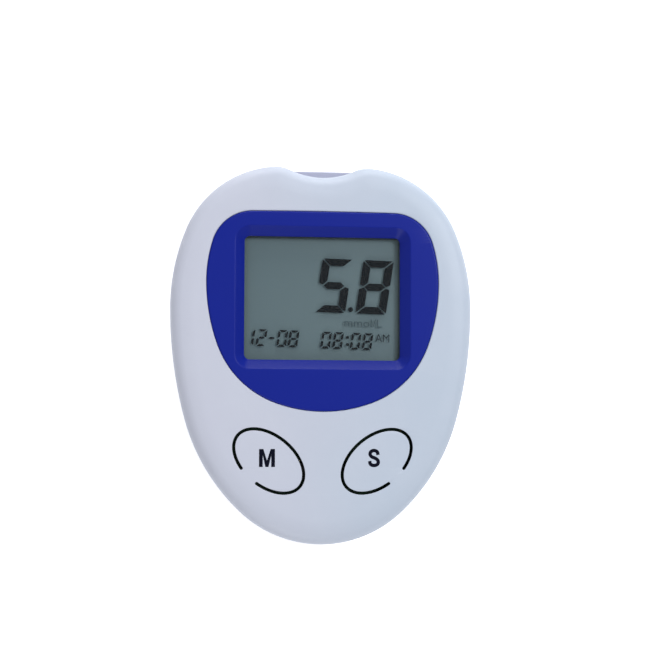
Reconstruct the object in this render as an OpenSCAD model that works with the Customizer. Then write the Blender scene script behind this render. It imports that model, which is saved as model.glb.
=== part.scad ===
// Blood glucose meter: an egg-shaped hand-held housing that lies on its back, face up (+Z).
// +Y points to the end where the test strip goes in. The origin is the middle of the back,
// in the plane that the meter rests on. All sizes are in millimetres.

/* [Body] */
// Width across the widest line
body_w = 66; // [60:0.5:80]
// Length of the egg outline along the middle, measured before the dip is cut
body_l = 82.6; // [76:0.2:100]
// Thickness from the back to the front face
body_h = 23; // [23:0.5:30]
// Wall thickness of both shells
wall = 1.8; // [1.5:0.1:2.2]
// Height of the parting line between the two shells
part_z = 14.5; // [14.2:0.1:16]
// Height of the tongue that lines up the shells
tongue_h = 1.4; // [0.8:0.1:1.8]

/* [Egg outline, drawn 66 x 82.6 and stretched to the body] */
// Radius of the lower end
bottom_r = 25.7; // [24:0.1:27]
// Radius of the lower flanks
lower_r = 43; // [38:0.5:48]
// Radius just below the widest line
flank_r = 92; // [80:1:120]
// Radius just above the widest line
upper_r = 45; // [40:0.5:50]
// Radius of the shoulders
shoulder_r = 22.5; // [20:0.1:24]
// Radius of the upper end
crest_r = 180; // [120:5:300]
// Height of the widest line above the lower end
widest_at = 51.3; // [48:0.1:54]

/* [Dip at the strip end] */
// Radius of the two humps beside the dip
hump_r = 7; // [6.2:0.1:8]
// Direction in which each hump leaves its shoulder
hump_from = 85; // [80:1:88]
// Depth of the dip below the egg outline
dip_depth = 2.6; // [1.8:0.1:3.2]

/* [Side profile, drawn 23 thick and stretched to the body] */
// Radius of the bowl-shaped side, seen in section
bowl_r = 26; // [24:0.5:32]
// Radius where the bowl turns into the flat back
heel_r = 5; // [4:0.1:6]
// Radius of the front edge
edge_r = 3; // [2.5:0.1:3.4]
// Radius that blends the front edge into the flat face
crown_r = 14; // [10:0.5:16]
// Slope at which the blend meets the front edge
crown_tilt = 12; // [8:1:14]

/* [Display] */
// Width of the blue bezel
bezel_w = 50.7; // [46:0.1:54]
// Length of the blue bezel
bezel_l = 43.5; // [40:0.1:48]
// Height of the bezel's middle above the middle of the body
bezel_y = 9.1; // [6:0.1:11]
// How far the bezel stands out of the front face
bezel_proud = 0.1; // [0:0.05:0.4]
// Width of the window
window_w = 34.1; // [30:0.1:36]
// Length of the window
window_l = 26.9; // [24:0.1:28]
// Height of the window's middle above the middle of the body
window_y = 12; // [10:0.1:13]
// Radius of the rounded edge that leads down into the window
window_edge_r = 2.1; // [1.5:0.1:2.2]
// Thickness of the clear lens
lens_t = 1; // [0.8:0.1:1.2]
// Thickness of each sheet of the display's glass
glass_t = 1.1; // [0.7:0.1:1.1]

/* [Bezel outline, drawn 50.7 x 43.5 and stretched to the bezel] */
// Radius of the bezel's lower end
bezel_bottom_r = 30.3; // [28:0.1:33]
// Radius of the bezel's lower flanks
bezel_lower_r = 20.8; // [19:0.1:23]
// Radius just below the bezel's widest line
bezel_flank_r = 40.3; // [34:0.1:48]
// Radius just above the bezel's widest line
bezel_upper_r = 29.6; // [27:0.1:33]
// Radius of the bezel's two upper corners
bezel_corner_r = 9.15; // [8:0.05:10]
// Radius of the bezel's nearly straight upper edge
bezel_crest_r = 1100; // [800:50:1500]
// Height of the bezel's widest line above its lower end
bezel_widest_at = 28.1; // [26:0.1:30]

/* [Keys] */
// Half the length of a key's oval, to the middle of its slot
key_a = 8.65; // [7:0.05:9]
// Half the width of a key's oval
key_b = 5.4; // [4.5:0.05:5.8]
// Distance of a key's middle from the middle line
key_x = 11.7; // [11:0.1:14]
// Distance of a key's middle below the middle of the body
key_y = 23.3; // [21:0.1:25]
// Slope of a key's long axis
key_tilt = 39; // [30:1:45]
// Width of the slot around a key
slot_w = 0.6; // [0.4:0.05:0.9]
// Length of slot left out, where the key hangs on its neck
neck_w = 4.7; // [3:0.1:6]
// Direction of the neck, away from the key's short axis
neck_turn = 9; // [5:1:16]
// Thickness of the neck, which bends
neck_t = 0.8; // [0.6:0.1:1.2]

/* [Strip port] */
// Width of a test strip's slot
slot_strip_w = 7.8; // [6:0.1:9]
// Height of a test strip's slot
slot_strip_h = 0.9; // [0.6:0.1:1.2]
// Half the width of the ledge that a strip is laid on
ledge_half = 8.3; // [6.5:0.1:9]
// Distance of the ledge's edge from the upper end of the egg
ledge_in = 0.95; // [0.6:0.05:1.5]

/* [Battery compartment] */
// Diameter of a cell
cell_d = 10.5; // [10:0.1:10.6]
// Length of a cell with its positive cap
cell_l = 44.5; // [43:0.1:45]
// Distance between the two cells' axes
cell_pitch = 11.2; // [10.8:0.1:11.6]
// Room for a pressed contact spring
spring_l = 4.7; // [4:0.1:5.5]
// Thickness of the door
door_t = 1.8; // [1.5:0.1:2]
// Angle to which the door opens
door_swing = 85; // [60:1:88]

/* [Clearances] */
// Gap between parts that are put in place by hand
fit = 0.15; // [0.1:0.01:0.25]
// Gap all round a running pin
running = 0.05; // [0.03:0.01:0.1]

/* [Hidden] */
$fn = 48;
egg_w = 66;
egg_l = 82.6;
bezel_egg_w = 50.7;
bezel_egg_l = 43.5;
profile_h = 23;
eps = 0.01;

// ---- heights of the layers, from the back up ----
plate_z = body_h - wall;
board_t = 1.2;
ceiling_t = 0.8;
cell_r = cell_d / 2;
cell_z = door_t + 0.25 + cell_r;
ceiling_z = cell_z + cell_r + 0.2;
board_z = ceiling_z + ceiling_t + 0.05;
board_top = board_z + board_t;
bezel_top = body_h + bezel_proud;
lens_top = bezel_top - window_edge_r;
lens_z = lens_top - lens_t;
gasket_t = 0.6;
film_t = 0.2;
front_glass_z = lens_z - gasket_t - film_t - glass_t;
rear_glass_z = front_glass_z - glass_t;
reflector_z = rear_glass_z - film_t;

// ---- side profile: [distance in from the outline, height] ----
// the bowl and heel are drawn for a body 23 thick and stretched in height to the real one
crown_drop = edge_r * cos(crown_tilt) + crown_r * (1 - cos(crown_tilt));
crown_in = edge_r * (1 - sin(crown_tilt)) + crown_r * sin(crown_tilt);
wide_z = body_h - crown_drop;
drawn_z = profile_h - crown_drop;
rise = wide_z / drawn_z;
heel_a = asin((drawn_z - heel_r) / (bowl_r - heel_r));
heel_in = bowl_r - (bowl_r - heel_r) * cos(heel_a);
part_drop = (wide_z - part_z) / rise;
part_a = asin(part_drop / bowl_r);
shadow = 0.35;
function bowl(t, a) = [bowl_r - (bowl_r - t) * cos(a), wide_z - rise * (bowl_r - t) * sin(a)];
function heel(t, a) = [heel_in - (heel_r - t) * cos(a), rise * (heel_r - (heel_r - t) * sin(a))];
function edge(t, a) = [edge_r - (edge_r - t) * cos(a), wide_z + (edge_r - t) * sin(a)];
function crown(t, a) = [crown_in - (crown_r - t) * cos(a), body_h - crown_r + (crown_r - t) * sin(a)];
function steps(from, to, n) = [for (i = [0:n]) from + (to - from) * i / n];
rim_in = bowl(0, part_a)[0];
tongue_in = rim_in + wall / 2;
inner_in = bowl_r - sqrt(pow(bowl_r - wall, 2) - pow(part_drop, 2));
inner_a = asin(part_drop / (bowl_r - wall));

// ---- outlines made of arcs that touch: [centre x, centre y, radius, from angle, to angle] ----
function bearing(p, q) = atan2(q[1] - p[1], q[0] - p[0]);
function touch(p, rp, q, rq) = rp > rq ? bearing(p, q) : bearing(q, p);
// centre of the circle of radius r that touches circle (p, rp) and circle (q, rq)
function between(p, rp, q, rq, r, side) =
  let (a = abs(rp - r), b = abs(rq - r), d = norm(q - p), e = (q - p) / d,
       x = (a * a - b * b + d * d) / (2 * d))
  p + e * x + side * sqrt(a * a - x * x) * [-e[1], e[0]];
// right half of an egg, from the lower end round to the upper end
function egg(w, l, level, rb, rl, rf, ru, rs, rc) =
  let (cb = [0, rb - l / 2], cf = [w / 2 - rf, level - l / 2],
       cu = [w / 2 - ru, level - l / 2], cc = [0, l / 2 - rc],
       cl = between(cb, rb, cf, rf, rl, rl > rb ? -1 : 1), cs = between(cu, ru, cc, rc, rs, 1),
       a1 = touch(cb, rb, cl, rl), a2 = touch(cf, rf, cl, rl),
       a3 = touch(cu, ru, cs, rs), a4 = touch(cc, rc, cs, rs))
  [[0, cb[1], rb, -90, a1], [cl[0], cl[1], rl, a1, a2], [cf[0], cf[1], rf, a2, 0],
   [cu[0], cu[1], ru, 0, a3], [cs[0], cs[1], rs, a3, a4], [0, cc[1], rc, a4, 90]];
// the same egg with a hump beside a hollow arc in place of the arc of its upper end
function dipped(half, rh, from, low) =
  let (s = half[4], h = [s[0], s[1]] + (s[2] - rh) * [cos(from), sin(from)], up = low - h[1],
       rn = (h[0] * h[0] + up * up - rh * rh) / (2 * (rh - up)), n = [0, low + rn])
  [half[0], half[1], half[2], half[3], [s[0], s[1], s[2], s[3], from],
   [h[0], h[1], rh, from, bearing(h, n)], [0, n[1], -rn, bearing(n, h), -90]];
// points with their outward normals along a half outline, each [x, y, nx, ny]
turn_per_step = 6;
function along(half) = [for (s = half) let (n = ceil(abs(s[4] - s[3]) / turn_per_step))
  for (i = [0:n - 1]) let (a = s[3] + (s[4] - s[3]) * i / n, r = abs(s[2]), o = sign(s[2]))
  [s[0] + r * cos(a), s[1] + r * sin(a), o * cos(a), o * sin(a)]];
function last(half) = let (s = half[len(half) - 1]) [0, s[1] + s[2], 0, 1];
function whole(half) = let (p = along(half), n = len(p))
  concat(p, [last(half)], [for (i = [n - 1:-1:1]) [-p[i][0], p[i][1], -p[i][2], p[i][3]]]);
// stretch an outline, and turn its normals to suit
function stretched(line, sx, sy) = [for (p = line) let (m = norm([p[2] / sx, p[3] / sy]))
  [p[0] * sx, p[1] * sy, p[2] / sx / m, p[3] / sy / m]];
function moved(line, x, y) = [for (p = line) [p[0] + x, p[1] + y, p[2], p[3]]];
// rounded rectangle, with the same kind of points
function rounded(w, l, r) = [for (k = [0:3]) for (i = [0:5]) let (a = 90 * k - 90 + 18 * i,
  cx = (w / 2 - r) * (k == 0 || k == 1 ? 1 : -1), cy = (l / 2 - r) * (k == 1 || k == 2 ? 1 : -1))
  [cx + r * cos(a), cy + r * sin(a), cos(a), sin(a)]];
function inset(line, d) = [for (p = line) [p[0] - d * p[2], p[1] - d * p[3]]];

body_egg = egg(egg_w, egg_l, widest_at, bottom_r, lower_r, flank_r, upper_r, shoulder_r, crest_r);
back_line = stretched(whole(body_egg), body_w / egg_w, body_l / egg_l);
front_egg = dipped(body_egg, hump_r, hump_from, egg_l / 2 - dip_depth);
front_line = stretched(whole(front_egg), body_w / egg_w, body_l / egg_l);
// half the width over which the two outlines differ
dip_half = (front_egg[5][0] + hump_r * cos(hump_from)) * body_w / egg_w + 0.3;
bezel_egg = egg(bezel_egg_w, bezel_egg_l, bezel_widest_at, bezel_bottom_r, bezel_lower_r, bezel_flank_r,
  bezel_upper_r, bezel_corner_r, bezel_crest_r);
bezel_line = moved(stretched(whole(bezel_egg), bezel_w / bezel_egg_w, bezel_l / bezel_egg_l), 0, bezel_y);
window_line = moved(rounded(window_w, window_l, 1.2), 0, window_y);

// ---- solids made from outlines ----
// a closed skin through rings; each ring is the outline moved in by section[k][0] at height section[k][1]
module skin(line, section) {
  n = len(line);
  m = len(section);
  downward = section[m - 1][1] < section[0][1];
  spots = [for (s = section) for (p = inset(line, s[0])) [p[0], p[1], s[1]]];
  sides = [for (k = [0:m - 2]) for (i = [0:n - 1]) let (a = k * n + i, b = k * n + (i + 1) % n)
    for (f = [[a, b + n, b], [a, a + n, b + n]]) f];
  caps = [[for (i = [0:n - 1]) i], [for (i = [n - 1:-1:0]) (m - 1) * n + i]];
  polyhedron(spots, [for (f = concat(sides, caps)) downward ? [for (i = [len(f) - 1:-1:0]) f[i]] : f]);
}
module slab(line, d, z0, z1) {
  translate([0, 0, z0]) linear_extrude(z1 - z0) polygon(inset(line, d));
}
module plate(size, r, z0, z1) {
  translate([0, 0, z0]) linear_extrude(z1 - z0) polygon(inset(rounded(size[0], size[1], r), 0));
}
module block(x0, x1, y0, y1, z0, z1) {
  translate([x0, y0, z0]) cube([x1 - x0, y1 - y0, z1 - z0]);
}
module pillar(p, r, z0, z1) {
  translate([p[0], p[1], z0]) cylinder(r = r, h = z1 - z0);
}

// ---- places ----
half_l = body_l / 2;
screw_spots = [[-12.5, half_l - 7.2], [12.5, half_l - 7.2], [0, 8 - half_l]];
boss_r = 2.7;
head_r = 1.9;
head_h = 1.5;
shank_r = 0.95;
head_z = 7.5;
seat_z = head_z + head_h;
screw_end = body_h - 4;
cell_x = cell_pitch / 2;
bay_half = cell_x + cell_r + 0.35;
bay_wall = 1.2;
contact_t = 0.4;
bay_l = cell_l + spring_l + 2 * contact_t + 0.1;
bay_y0 = -24.2;
bay_y1 = bay_y0 + bay_l;
hinge_z = door_t - 0.8;
hinge_y = bay_y0 + hinge_z + fit;
pin_r = 0.6;
door_half = bay_half - fit;
pin_l = 1.2;
door_top = bay_y1 - 2.5;
port_z = 15.6;
mouth_top = port_z + slot_strip_h + 1.5;
ledge_y = half_l - ledge_in;
jaw_y = half_l - dip_depth - 0.3;
port_back = 30.6;
frame_w = window_w + 6.6;
frame_l = window_l + 7.4;
glass_w = frame_w - 2.2;
ledge_glass = 3;

// ---- the housing ----
module inside(t) {
  intersection() {
    children();
    skin(back_line, concat([for (a = steps(90, heel_a, 4)) heel(t, a)],
      [for (a = steps(heel_a, 0, 6)) bowl(t, a)], [[t, body_h]]));
  }
}

module front_shell() color("#c4cad8") difference() {
  union() {
    skin(front_line, concat(
      [for (a = steps(90, 90 - crown_tilt, 2)) crown(0, a)],
      [for (a = steps(90 - crown_tilt, 0, 6)) if (a < 90 - crown_tilt) edge(0, a)],
      [for (a = steps(0, part_a - 1, 2)) if (a > 0) bowl(0, a)],
      [[rim_in, part_z + shadow], [rim_in + shadow, part_z + shadow], [rim_in + shadow, part_z],
       [tongue_in - fit, part_z], [tongue_in - fit, part_z + tongue_h + fit],
       [inner_in, part_z + tongue_h + fit]],
      [for (a = steps(inner_a / 2, 0, 1)) bowl(wall, a)],
      [for (a = steps(0, 90 - crown_tilt, 3)) if (a > 0) edge(wall, a)],
      [[crown_in, plate_z]]));
    for (p = screw_spots) pillar(p, 2.4, board_top, plate_z + wall / 2);
    for (s = [-1, 1]) block(s * 27.2 - 0.6, s * 27.2 + 0.6, -8, 24, plate_z - 2.4, plate_z + eps);
  }
  slab(bezel_line, -0.08, plate_z - eps, body_h + 1);
  slab(bezel_line, -1.3, lens_z - 0.5, plate_z);
  for (s = [0, 1]) mirror([s, 0, 0]) key_hole();
  for (p = screw_spots) pillar(p, shank_r + running, board_top - 1, screw_end + 0.5);
  block(-ledge_half - 0.2, ledge_half + 0.2, jaw_y - 5, half_l + 1, part_z - 1, mouth_top + 0.2);
}

module at_hinge() {
  translate([0, hinge_y, hinge_z]) rotate([0, 90, 0]) children();
}

module back_shell() color("#c2c8d6") difference() {
  union() {
    skin(back_line, concat(
      [for (a = steps(90, heel_a, 4)) heel(0, a)],
      [for (a = steps(heel_a, part_a, 6)) if (a < heel_a) bowl(0, a)],
      [[tongue_in, part_z], [tongue_in, part_z + tongue_h], [inner_in, part_z + tongue_h]],
      [for (a = steps(inner_a, heel_a, 5)) bowl(wall, a)],
      [for (a = steps(heel_a, 90, 3)) if (a > heel_a) heel(wall, a)]));
    inside(wall / 2) union() {
      block(-bay_half - bay_wall, bay_half + bay_wall, bay_y0 - bay_wall, bay_y1 + bay_wall,
        wall / 2, ceiling_z + ceiling_t);
      for (p = screw_spots) pillar(p, boss_r, 0, board_z);
    }
  }
  block(-bay_half, bay_half, bay_y0, bay_y1, wall, ceiling_z);
  block(-bay_half, bay_half, bay_y0, door_top + fit, -1, wall + eps);
  translate([0, door_top + fit, 0]) cylinder(r = 5, h = 0.9, center = true);
  at_hinge() cylinder(r = pin_r + running, h = 2 * (door_half + pin_l + 0.2), center = true);
  for (p = screw_spots) {
    pillar(p, head_r + 0.3, -1, seat_z);
    pillar(p, 1.2, seat_z - eps, board_z + 1);
  }
  for (s = [-1, 1]) block(s * cell_x - 1.4, s * cell_x + 1.4, bay_y1 - 0.8, bay_y1 + eps,
    ceiling_z - eps, board_z);
  block(-ledge_half - 0.2, ledge_half + 0.2, jaw_y - 5, half_l + 1, part_z - 1.7, body_h);
  block(-dip_half, dip_half, jaw_y - 5, half_l + 1, part_z, body_h);
}

// ---- the keys, each a tongue that a C-shaped slot leaves in the front face ----
module at_key() {
  translate([-key_x, -key_y, 0]) rotate([0, 0, -key_tilt]) children();
}
// a point of the key's oval at parameter a, moved out by g
function oval_at(a, g) = let (n = [cos(a) / key_a, sin(a) / key_b])
  [key_a * cos(a), key_b * sin(a)] + g * n / norm(n);
// the slot's two ends lie on the oval, one on each side of the neck; the neck line joins them
neck_a = -90 - neck_turn;
neck_half = neck_w / 2 / norm([key_a * sin(neck_a), key_b * cos(neck_a)]) * 180 / PI;
end_a = oval_at(neck_a + neck_half, 0);
end_b = oval_at(neck_a - neck_half, 0);
neck_mid = (end_a + end_b) / 2;
// a region bounded by the oval, moved out by g, and by the neck line
function tongue(g) = concat(
  [for (a = steps(neck_a + neck_half, neck_a - neck_half + 360, 60)) oval_at(a, g)], [end_b, end_a]);
// x runs along the neck line and y points in to the key's middle
module at_neck() {
  translate([neck_mid[0], neck_mid[1], 0]) rotate([0, 0, bearing(end_b, end_a)]) children();
}
module slot_ends() {
  for (p = [end_a, end_b]) pillar(p, slot_w / 2, plate_z - 1, body_h + 1);
}
module key_hole() at_key() {
  translate([0, 0, plate_z - 1]) linear_extrude(wall + 2) polygon(tongue(slot_w / 2));
  slot_ends();
}
switch_top = plate_z - 1.4;
post_gap = 0.05;
module key() at_key() {
  difference() {
    translate([0, 0, plate_z]) linear_extrude(wall) polygon(tongue(-slot_w / 2));
    slot_ends();
    at_neck() block(-neck_w, neck_w, -1, 1.2, plate_z - 1, body_h - neck_t);
  }
  pillar([0, 0], 1.4, switch_top + 0.35, plate_z + eps);
  pillar([0, 0], 0.5, switch_top + post_gap, switch_top + 0.35 + eps);
}
module memory_key() color("#c4cad8") key();
module set_key() color("#c4cad8") mirror([1, 0, 0]) key();

// ---- the display ----
module display_bezel() color("#1f2c8c") difference() {
  union() {
    skin(bezel_line, [for (a = steps(90, 0, 4)) [0.45 - 0.45 * cos(a), bezel_top - 0.45 + 0.45 * sin(a)]]);
    slab(bezel_line, 0, lens_z, bezel_top - 0.45);
    slab(bezel_line, -1.2, lens_z, plate_z);
  }
  skin(window_line, concat([[0, lens_z]],
    [for (a = steps(0, 90, 6)) [window_edge_r * (cos(a) - 1), lens_top + window_edge_r * sin(a)]],
    [[-window_edge_r, bezel_top + 1]]));
  translate([0, window_y, 0]) plate([window_w + 2.8, window_l + 2.8], 1.6, lens_z - 1, lens_top);
}

module display_lens() color("#8fa3a8", 0.5)
  translate([0, window_y, 0]) plate([window_w + 2.6, window_l + 2.6], 1.5, lens_z, lens_top);

module lens_gasket() color("#2b2d33") difference() {
  translate([0, window_y, 0]) plate([window_w + 3.4, window_l + 3.4], 1.8, lens_z - gasket_t, lens_z);
  translate([0, window_y, 0]) plate([window_w + 1, window_l + 1], 1, lens_z - 1, lens_z + 1);
}

module lcd_polarizer() color("#75858a")
  translate([0, window_y, 0]) plate([window_w + 2, window_l + 2], 0.5, front_glass_z + glass_t, lens_z - gasket_t);

module lcd_front_glass() color("#9aabae") translate([0, window_y, 0])
  block(-glass_w / 2, glass_w / 2, -frame_l / 2 + 1.1, frame_l / 2 - 1.1, front_glass_z, front_glass_z + glass_t);

module lcd_rear_glass() color("#93a4a7") translate([0, window_y, 0])
  block(-glass_w / 2, glass_w / 2, -frame_l / 2 + 1.1 + ledge_glass, frame_l / 2 - 1.1,
    rear_glass_z, front_glass_z);

module lcd_reflector() color("#b9c4c2") translate([0, window_y, 0])
  block(-glass_w / 2 + 0.5, glass_w / 2 - 0.5, -frame_l / 2 + 1.6 + ledge_glass, frame_l / 2 - 1.6,
    reflector_z, rear_glass_z);

module zebra_strip() color("#3a3f47") translate([0, window_y - frame_l / 2 + 1.4, 0])
  block(-glass_w / 2 + 1, glass_w / 2 - 1, 0, 2, board_top, front_glass_z);

peg_spots = [for (x = [-1, 1]) for (y = [-1, 1]) [x * (frame_w / 2 - 1.4), window_y + y * (frame_l / 2 - 5.5)]];
module lcd_frame() color("#e6e8ea") difference() {
  union() {
    translate([0, window_y, 0]) plate([frame_w, frame_l], 1.2, board_top, front_glass_z + glass_t - 0.3);
    for (p = peg_spots) pillar(p, 0.7, board_z + 0.2, board_top + eps);
  }
  translate([0, window_y, 0]) {
    block(-glass_w / 2 - 0.1, glass_w / 2 + 0.1, -frame_l / 2 + 1, frame_l / 2 - 1, reflector_z, body_h);
    block(-glass_w / 2 + 2.2, glass_w / 2 - 2.2, -frame_l / 2 + 5.2, frame_l / 2 - 2.6, 0, body_h);
    block(-glass_w / 2 + 0.9, glass_w / 2 - 0.9, -frame_l / 2 + 1.3, -frame_l / 2 + 3.5, 0, body_h);
  }
}

// ---- the board and what is on it ----
board_in = inner_in + 1.1;
module main_board() color("#1f6b45") difference() {
  slab(back_line, board_in, board_z, board_top);
  for (p = screw_spots) pillar(p, 1.2, 0, body_h);
  for (p = peg_spots) pillar(p, 0.8, 0, body_h);
  block(-ledge_half - 0.3, ledge_half + 0.3, jaw_y - 4.8, half_l, 0, body_h);
}

switch_half = 3;
switch_h = switch_top - board_top - 1.5;
module switch() at_key() difference() {
  union() {
    block(-switch_half, switch_half, -switch_half, switch_half, board_top + 0.1, board_top + switch_h);
    for (x = [-1, 1]) for (y = [-1, 1]) block(x * 3.4 - 0.9, x * 3.4 + 0.9, y * 2.2 - 0.4, y * 2.2 + 0.4,
      board_top, board_top + 0.3);
  }
  pillar([0, 0], 1.75 + running, board_top + switch_h - 1.2, body_h);
}
module plunger() at_key() {
  pillar([0, 0], 1.75, board_top + switch_h - 0.8, switch_top - 0.2);
  pillar([0, 0], 1.55, switch_top - 0.2 - eps, switch_top);
}
module memory_switch() color("#26282c") switch();
module memory_plunger() color("#3c3f45") plunger();
module set_switch() color("#26282c") mirror([1, 0, 0]) switch();
module set_plunger() color("#3c3f45") mirror([1, 0, 0]) plunger();

module strip_port() color("#aab0c6") difference() {
  union() {
    block(-slot_strip_w / 2 - 3, slot_strip_w / 2 + 3, port_back, jaw_y, board_top, mouth_top);
    translate([0, (jaw_y - 4.6 + ledge_y) / 2, 0])
      plate([2 * ledge_half, ledge_y - jaw_y + 4.6], 1.5, part_z - 1.6, port_z);
  }
  block(-slot_strip_w / 2, slot_strip_w / 2, port_back + 1.5, half_l, port_z, port_z + slot_strip_h);
  for (x = [-2, 0, 2]) block(x - 0.6, x + 0.6, port_back - 1, port_back + 5.5, port_z + 0.3, mouth_top - 0.5);
  translate([0, jaw_y, port_z + slot_strip_h / 2]) rotate([45, 0, 0])
    cube([slot_strip_w, 1.3, 1.3], center = true);
}

module strip_contacts() color("#d9b45a") for (x = [-2, 0, 2]) translate([x + 0.45, port_back, 0])
  rotate([90, 0, -90]) linear_extrude(0.9) polygon([for (p = [
    [-0.3, board_top], [-0.1, board_top], [-0.1, port_z + 0.9], [4.1, port_z + 0.12],
    [5.1, port_z + 0.7], [5.1, port_z + 0.9], [4.1, port_z + 0.35], [-0.1, port_z + 1.15],
    [-0.3, port_z + 1.15]]) [-p[0], p[1]]]);

module processor_chip() color("#202226") translate([0, -12.6, board_top]) {
  block(-3.5, 3.5, -3.5, 3.5, 0.15, 1.5);
  for (k = [0:3]) rotate([0, 0, 90 * k]) for (i = [-3:3]) translate([i * 0.8 - 0.15, 3.45, 0]) {
    block(0, 0.3, 0, 0.5, 0.6, 0.75);
    block(0, 0.3, 0.35, 0.5, 0, 0.75);
    block(0, 0.3, 0.35, 1, 0, 0.15);
  }
}

module amplifier_chip() color("#202226") translate([14.6, -9.4, board_top]) {
  block(-2.5, 2.5, -1.95, 1.95, 0.15, 1.6);
  for (s = [0, 1]) mirror([0, s, 0]) for (i = [-1.5:1.5]) translate([i * 1.27 - 0.2, 1.9, 0]) {
    block(0, 0.4, 0, 0.5, 0.7, 0.9);
    block(0, 0.4, 0.3, 0.5, 0, 0.9);
    block(0, 0.4, 0.3, 1.1, 0, 0.2);
  }
}

module clock_crystal() color("#c8ccd0") translate([-12, -9.6, board_top + 1.05]) rotate([0, 90, 0]) {
  cylinder(r = 1.05, h = 6, center = true);
  for (y = [-0.35, 0.35]) translate([0, y, 3]) cylinder(r = 0.15, h = 1.6);
}

buzzer_y = 5.6 - half_l + 11;
module buzzer() color("#26282c") translate([0, buzzer_y, board_top]) difference() {
  union() {
    cylinder(r = 4.4, h = 3.2);
    for (s = [-1, 1]) block(s * 4.6 - 0.7, s * 4.6 + 0.7, -0.8, 0.8, 0, 0.25);
  }
  translate([0, 0, 2.4]) cylinder(r = 0.9, h = 2);
}

capacitor_spots = [[-7.5, -8.2], [-7.5, -10.4], [-7.5, -12.6], [7.5, -8.2], [7.5, -10.4], [7.5, -12.6],
  [18.8, -15], [-18.6, -13.4]];
module board_capacitors() color("#b39a6b") for (p = capacitor_spots) translate([p[0], p[1], board_top])
  block(-0.8, 0.8, -0.4, 0.4, 0, 0.7);

// ---- cells, contacts and door ----
module cell() color("#3b4048") translate([0, 0, cell_z]) rotate([-90, 0, 0]) rotate_extrude()
  polygon([[0, 0.15], [3.2, 0.15], [3.4, 0], [cell_r - 0.4, 0], [cell_r, 0.4], [cell_r, cell_l - 1.7],
    [cell_r - 0.6, cell_l - 1.1], [2.2, cell_l - 1.1], [1.9, cell_l - 0.9], [1.9, cell_l - 0.2],
    [1.7, cell_l], [0, cell_l]]);
left_cell_y = bay_y1 - contact_t - 0.05 - cell_l;
right_cell_y = bay_y0 + contact_t + 0.05 + cell_l;
module battery_left() translate([-cell_x, left_cell_y, 0]) cell();
module battery_right() translate([cell_x, right_cell_y, 0]) mirror([0, 1, 0]) cell();

// a cone-shaped spring of round wire, swept ring by ring along a helix that ends in flat turns
wire_r = 0.3;
spring_turns = 4;
spring_rings = 14;
spring_base = 3.4;
spring_tip = 2;
spring_free = spring_l - 0.1 - 2 * wire_r;
function ease(t) = t < 0.18 ? 0 : t > 0.82 ? 1 : (t - 0.18) / 0.64;
function coil_at(t) = let (r = spring_base + (spring_tip - spring_base) * t)
  [r * cos(360 * spring_turns * t), r * sin(360 * spring_turns * t), wire_r + spring_free * ease(t)];
module spring() {
  n = spring_turns * spring_rings;
  spots = [for (k = [0:n]) let (t = k / n, a = 360 * spring_turns * t)
    for (j = [0:5]) coil_at(t) + wire_r * [cos(60 * j) * cos(a), cos(60 * j) * sin(a), sin(60 * j)]];
  sides = [for (k = [0:n - 1]) for (j = [0:5]) let (p = 6 * k + j, q = 6 * k + (j + 1) % 6)
    for (f = [[p, q, q + 6], [p, q + 6, p + 6]]) f];
  polyhedron(spots, concat(sides, [[5, 4, 3, 2, 1, 0], [for (j = [0:5]) 6 * n + j]]));
}
module battery_spring_left() color("#c9cdd2")
  translate([-cell_x, bay_y0 + contact_t + 0.02, cell_z]) rotate([-90, 0, 0]) spring();
module battery_spring_right() color("#c9cdd2")
  translate([cell_x, bay_y1 - contact_t - 0.02, cell_z]) rotate([90, 0, 0]) spring();

module contact_plate(x, y) {
  translate([x, y, cell_z]) rotate([90, 0, 0]) plate([8, 8], 1, -contact_t / 2, contact_t / 2);
  block(x - 1.2, x + 1.2, y - contact_t / 2, y + contact_t / 2, cell_z, board_z - 0.02);
}
module positive_contact() color("#c9cdd2") contact_plate(-cell_x, bay_y1 - contact_t / 2);
module negative_contact() color("#c9cdd2") contact_plate(cell_x, bay_y1 - contact_t / 2);
module bridge_contact() color("#c9cdd2") translate([0, bay_y0 + contact_t / 2, cell_z])
  rotate([90, 0, 0]) plate([cell_pitch + 8, 8], 1, -contact_t / 2, contact_t / 2);

module battery_door() color("#c2c8d6") difference() {
  union() {
    block(-door_half, door_half, hinge_y, door_top, 0, door_t);
    intersection() {
      at_hinge() cylinder(r = hinge_z, h = 2 * door_half, center = true);
      block(-door_half, door_half, bay_y0, hinge_y + eps, 0, door_t);
    }
    at_hinge() cylinder(r = pin_r, h = 2 * (door_half + pin_l), center = true);
  }
  translate([0, door_top, 0]) cylinder(r = 5, h = 1.4, center = true);
  for (i = [0:4]) translate([0, door_top - 9 - 1.8 * i, 0]) rotate([0, 90, 0])
    cylinder(r = 0.45, h = 12 - 1.6 * i, center = true);
}

module case_screws() color("#8d9298") for (p = screw_spots) translate([p[0], p[1], head_z]) difference() {
  rotate_extrude() polygon([[0, 0], [head_r - 0.3, 0], [head_r, 0.4], [head_r, head_h], [shank_r, head_h],
    [shank_r, screw_end - head_z - 1], [0, screw_end - head_z]]);
  for (a = [0, 90]) rotate([0, 0, a]) cube([2.4, 0.45, 1.6], center = true);
}

front_shell();
back_shell();
memory_key();
set_key();
display_bezel();
display_lens();
lens_gasket();
lcd_polarizer();
lcd_front_glass();
lcd_rear_glass();
lcd_reflector();
zebra_strip();
lcd_frame();
main_board();
memory_switch();
memory_plunger();
set_switch();
set_plunger();
strip_port();
strip_contacts();
processor_chip();
amplifier_chip();
clock_crystal();
buzzer();
board_capacitors();
battery_left();
battery_right();
battery_spring_left();
battery_spring_right();
positive_contact();
negative_contact();
bridge_contact();
battery_door();
case_screws();
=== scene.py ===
import math

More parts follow.
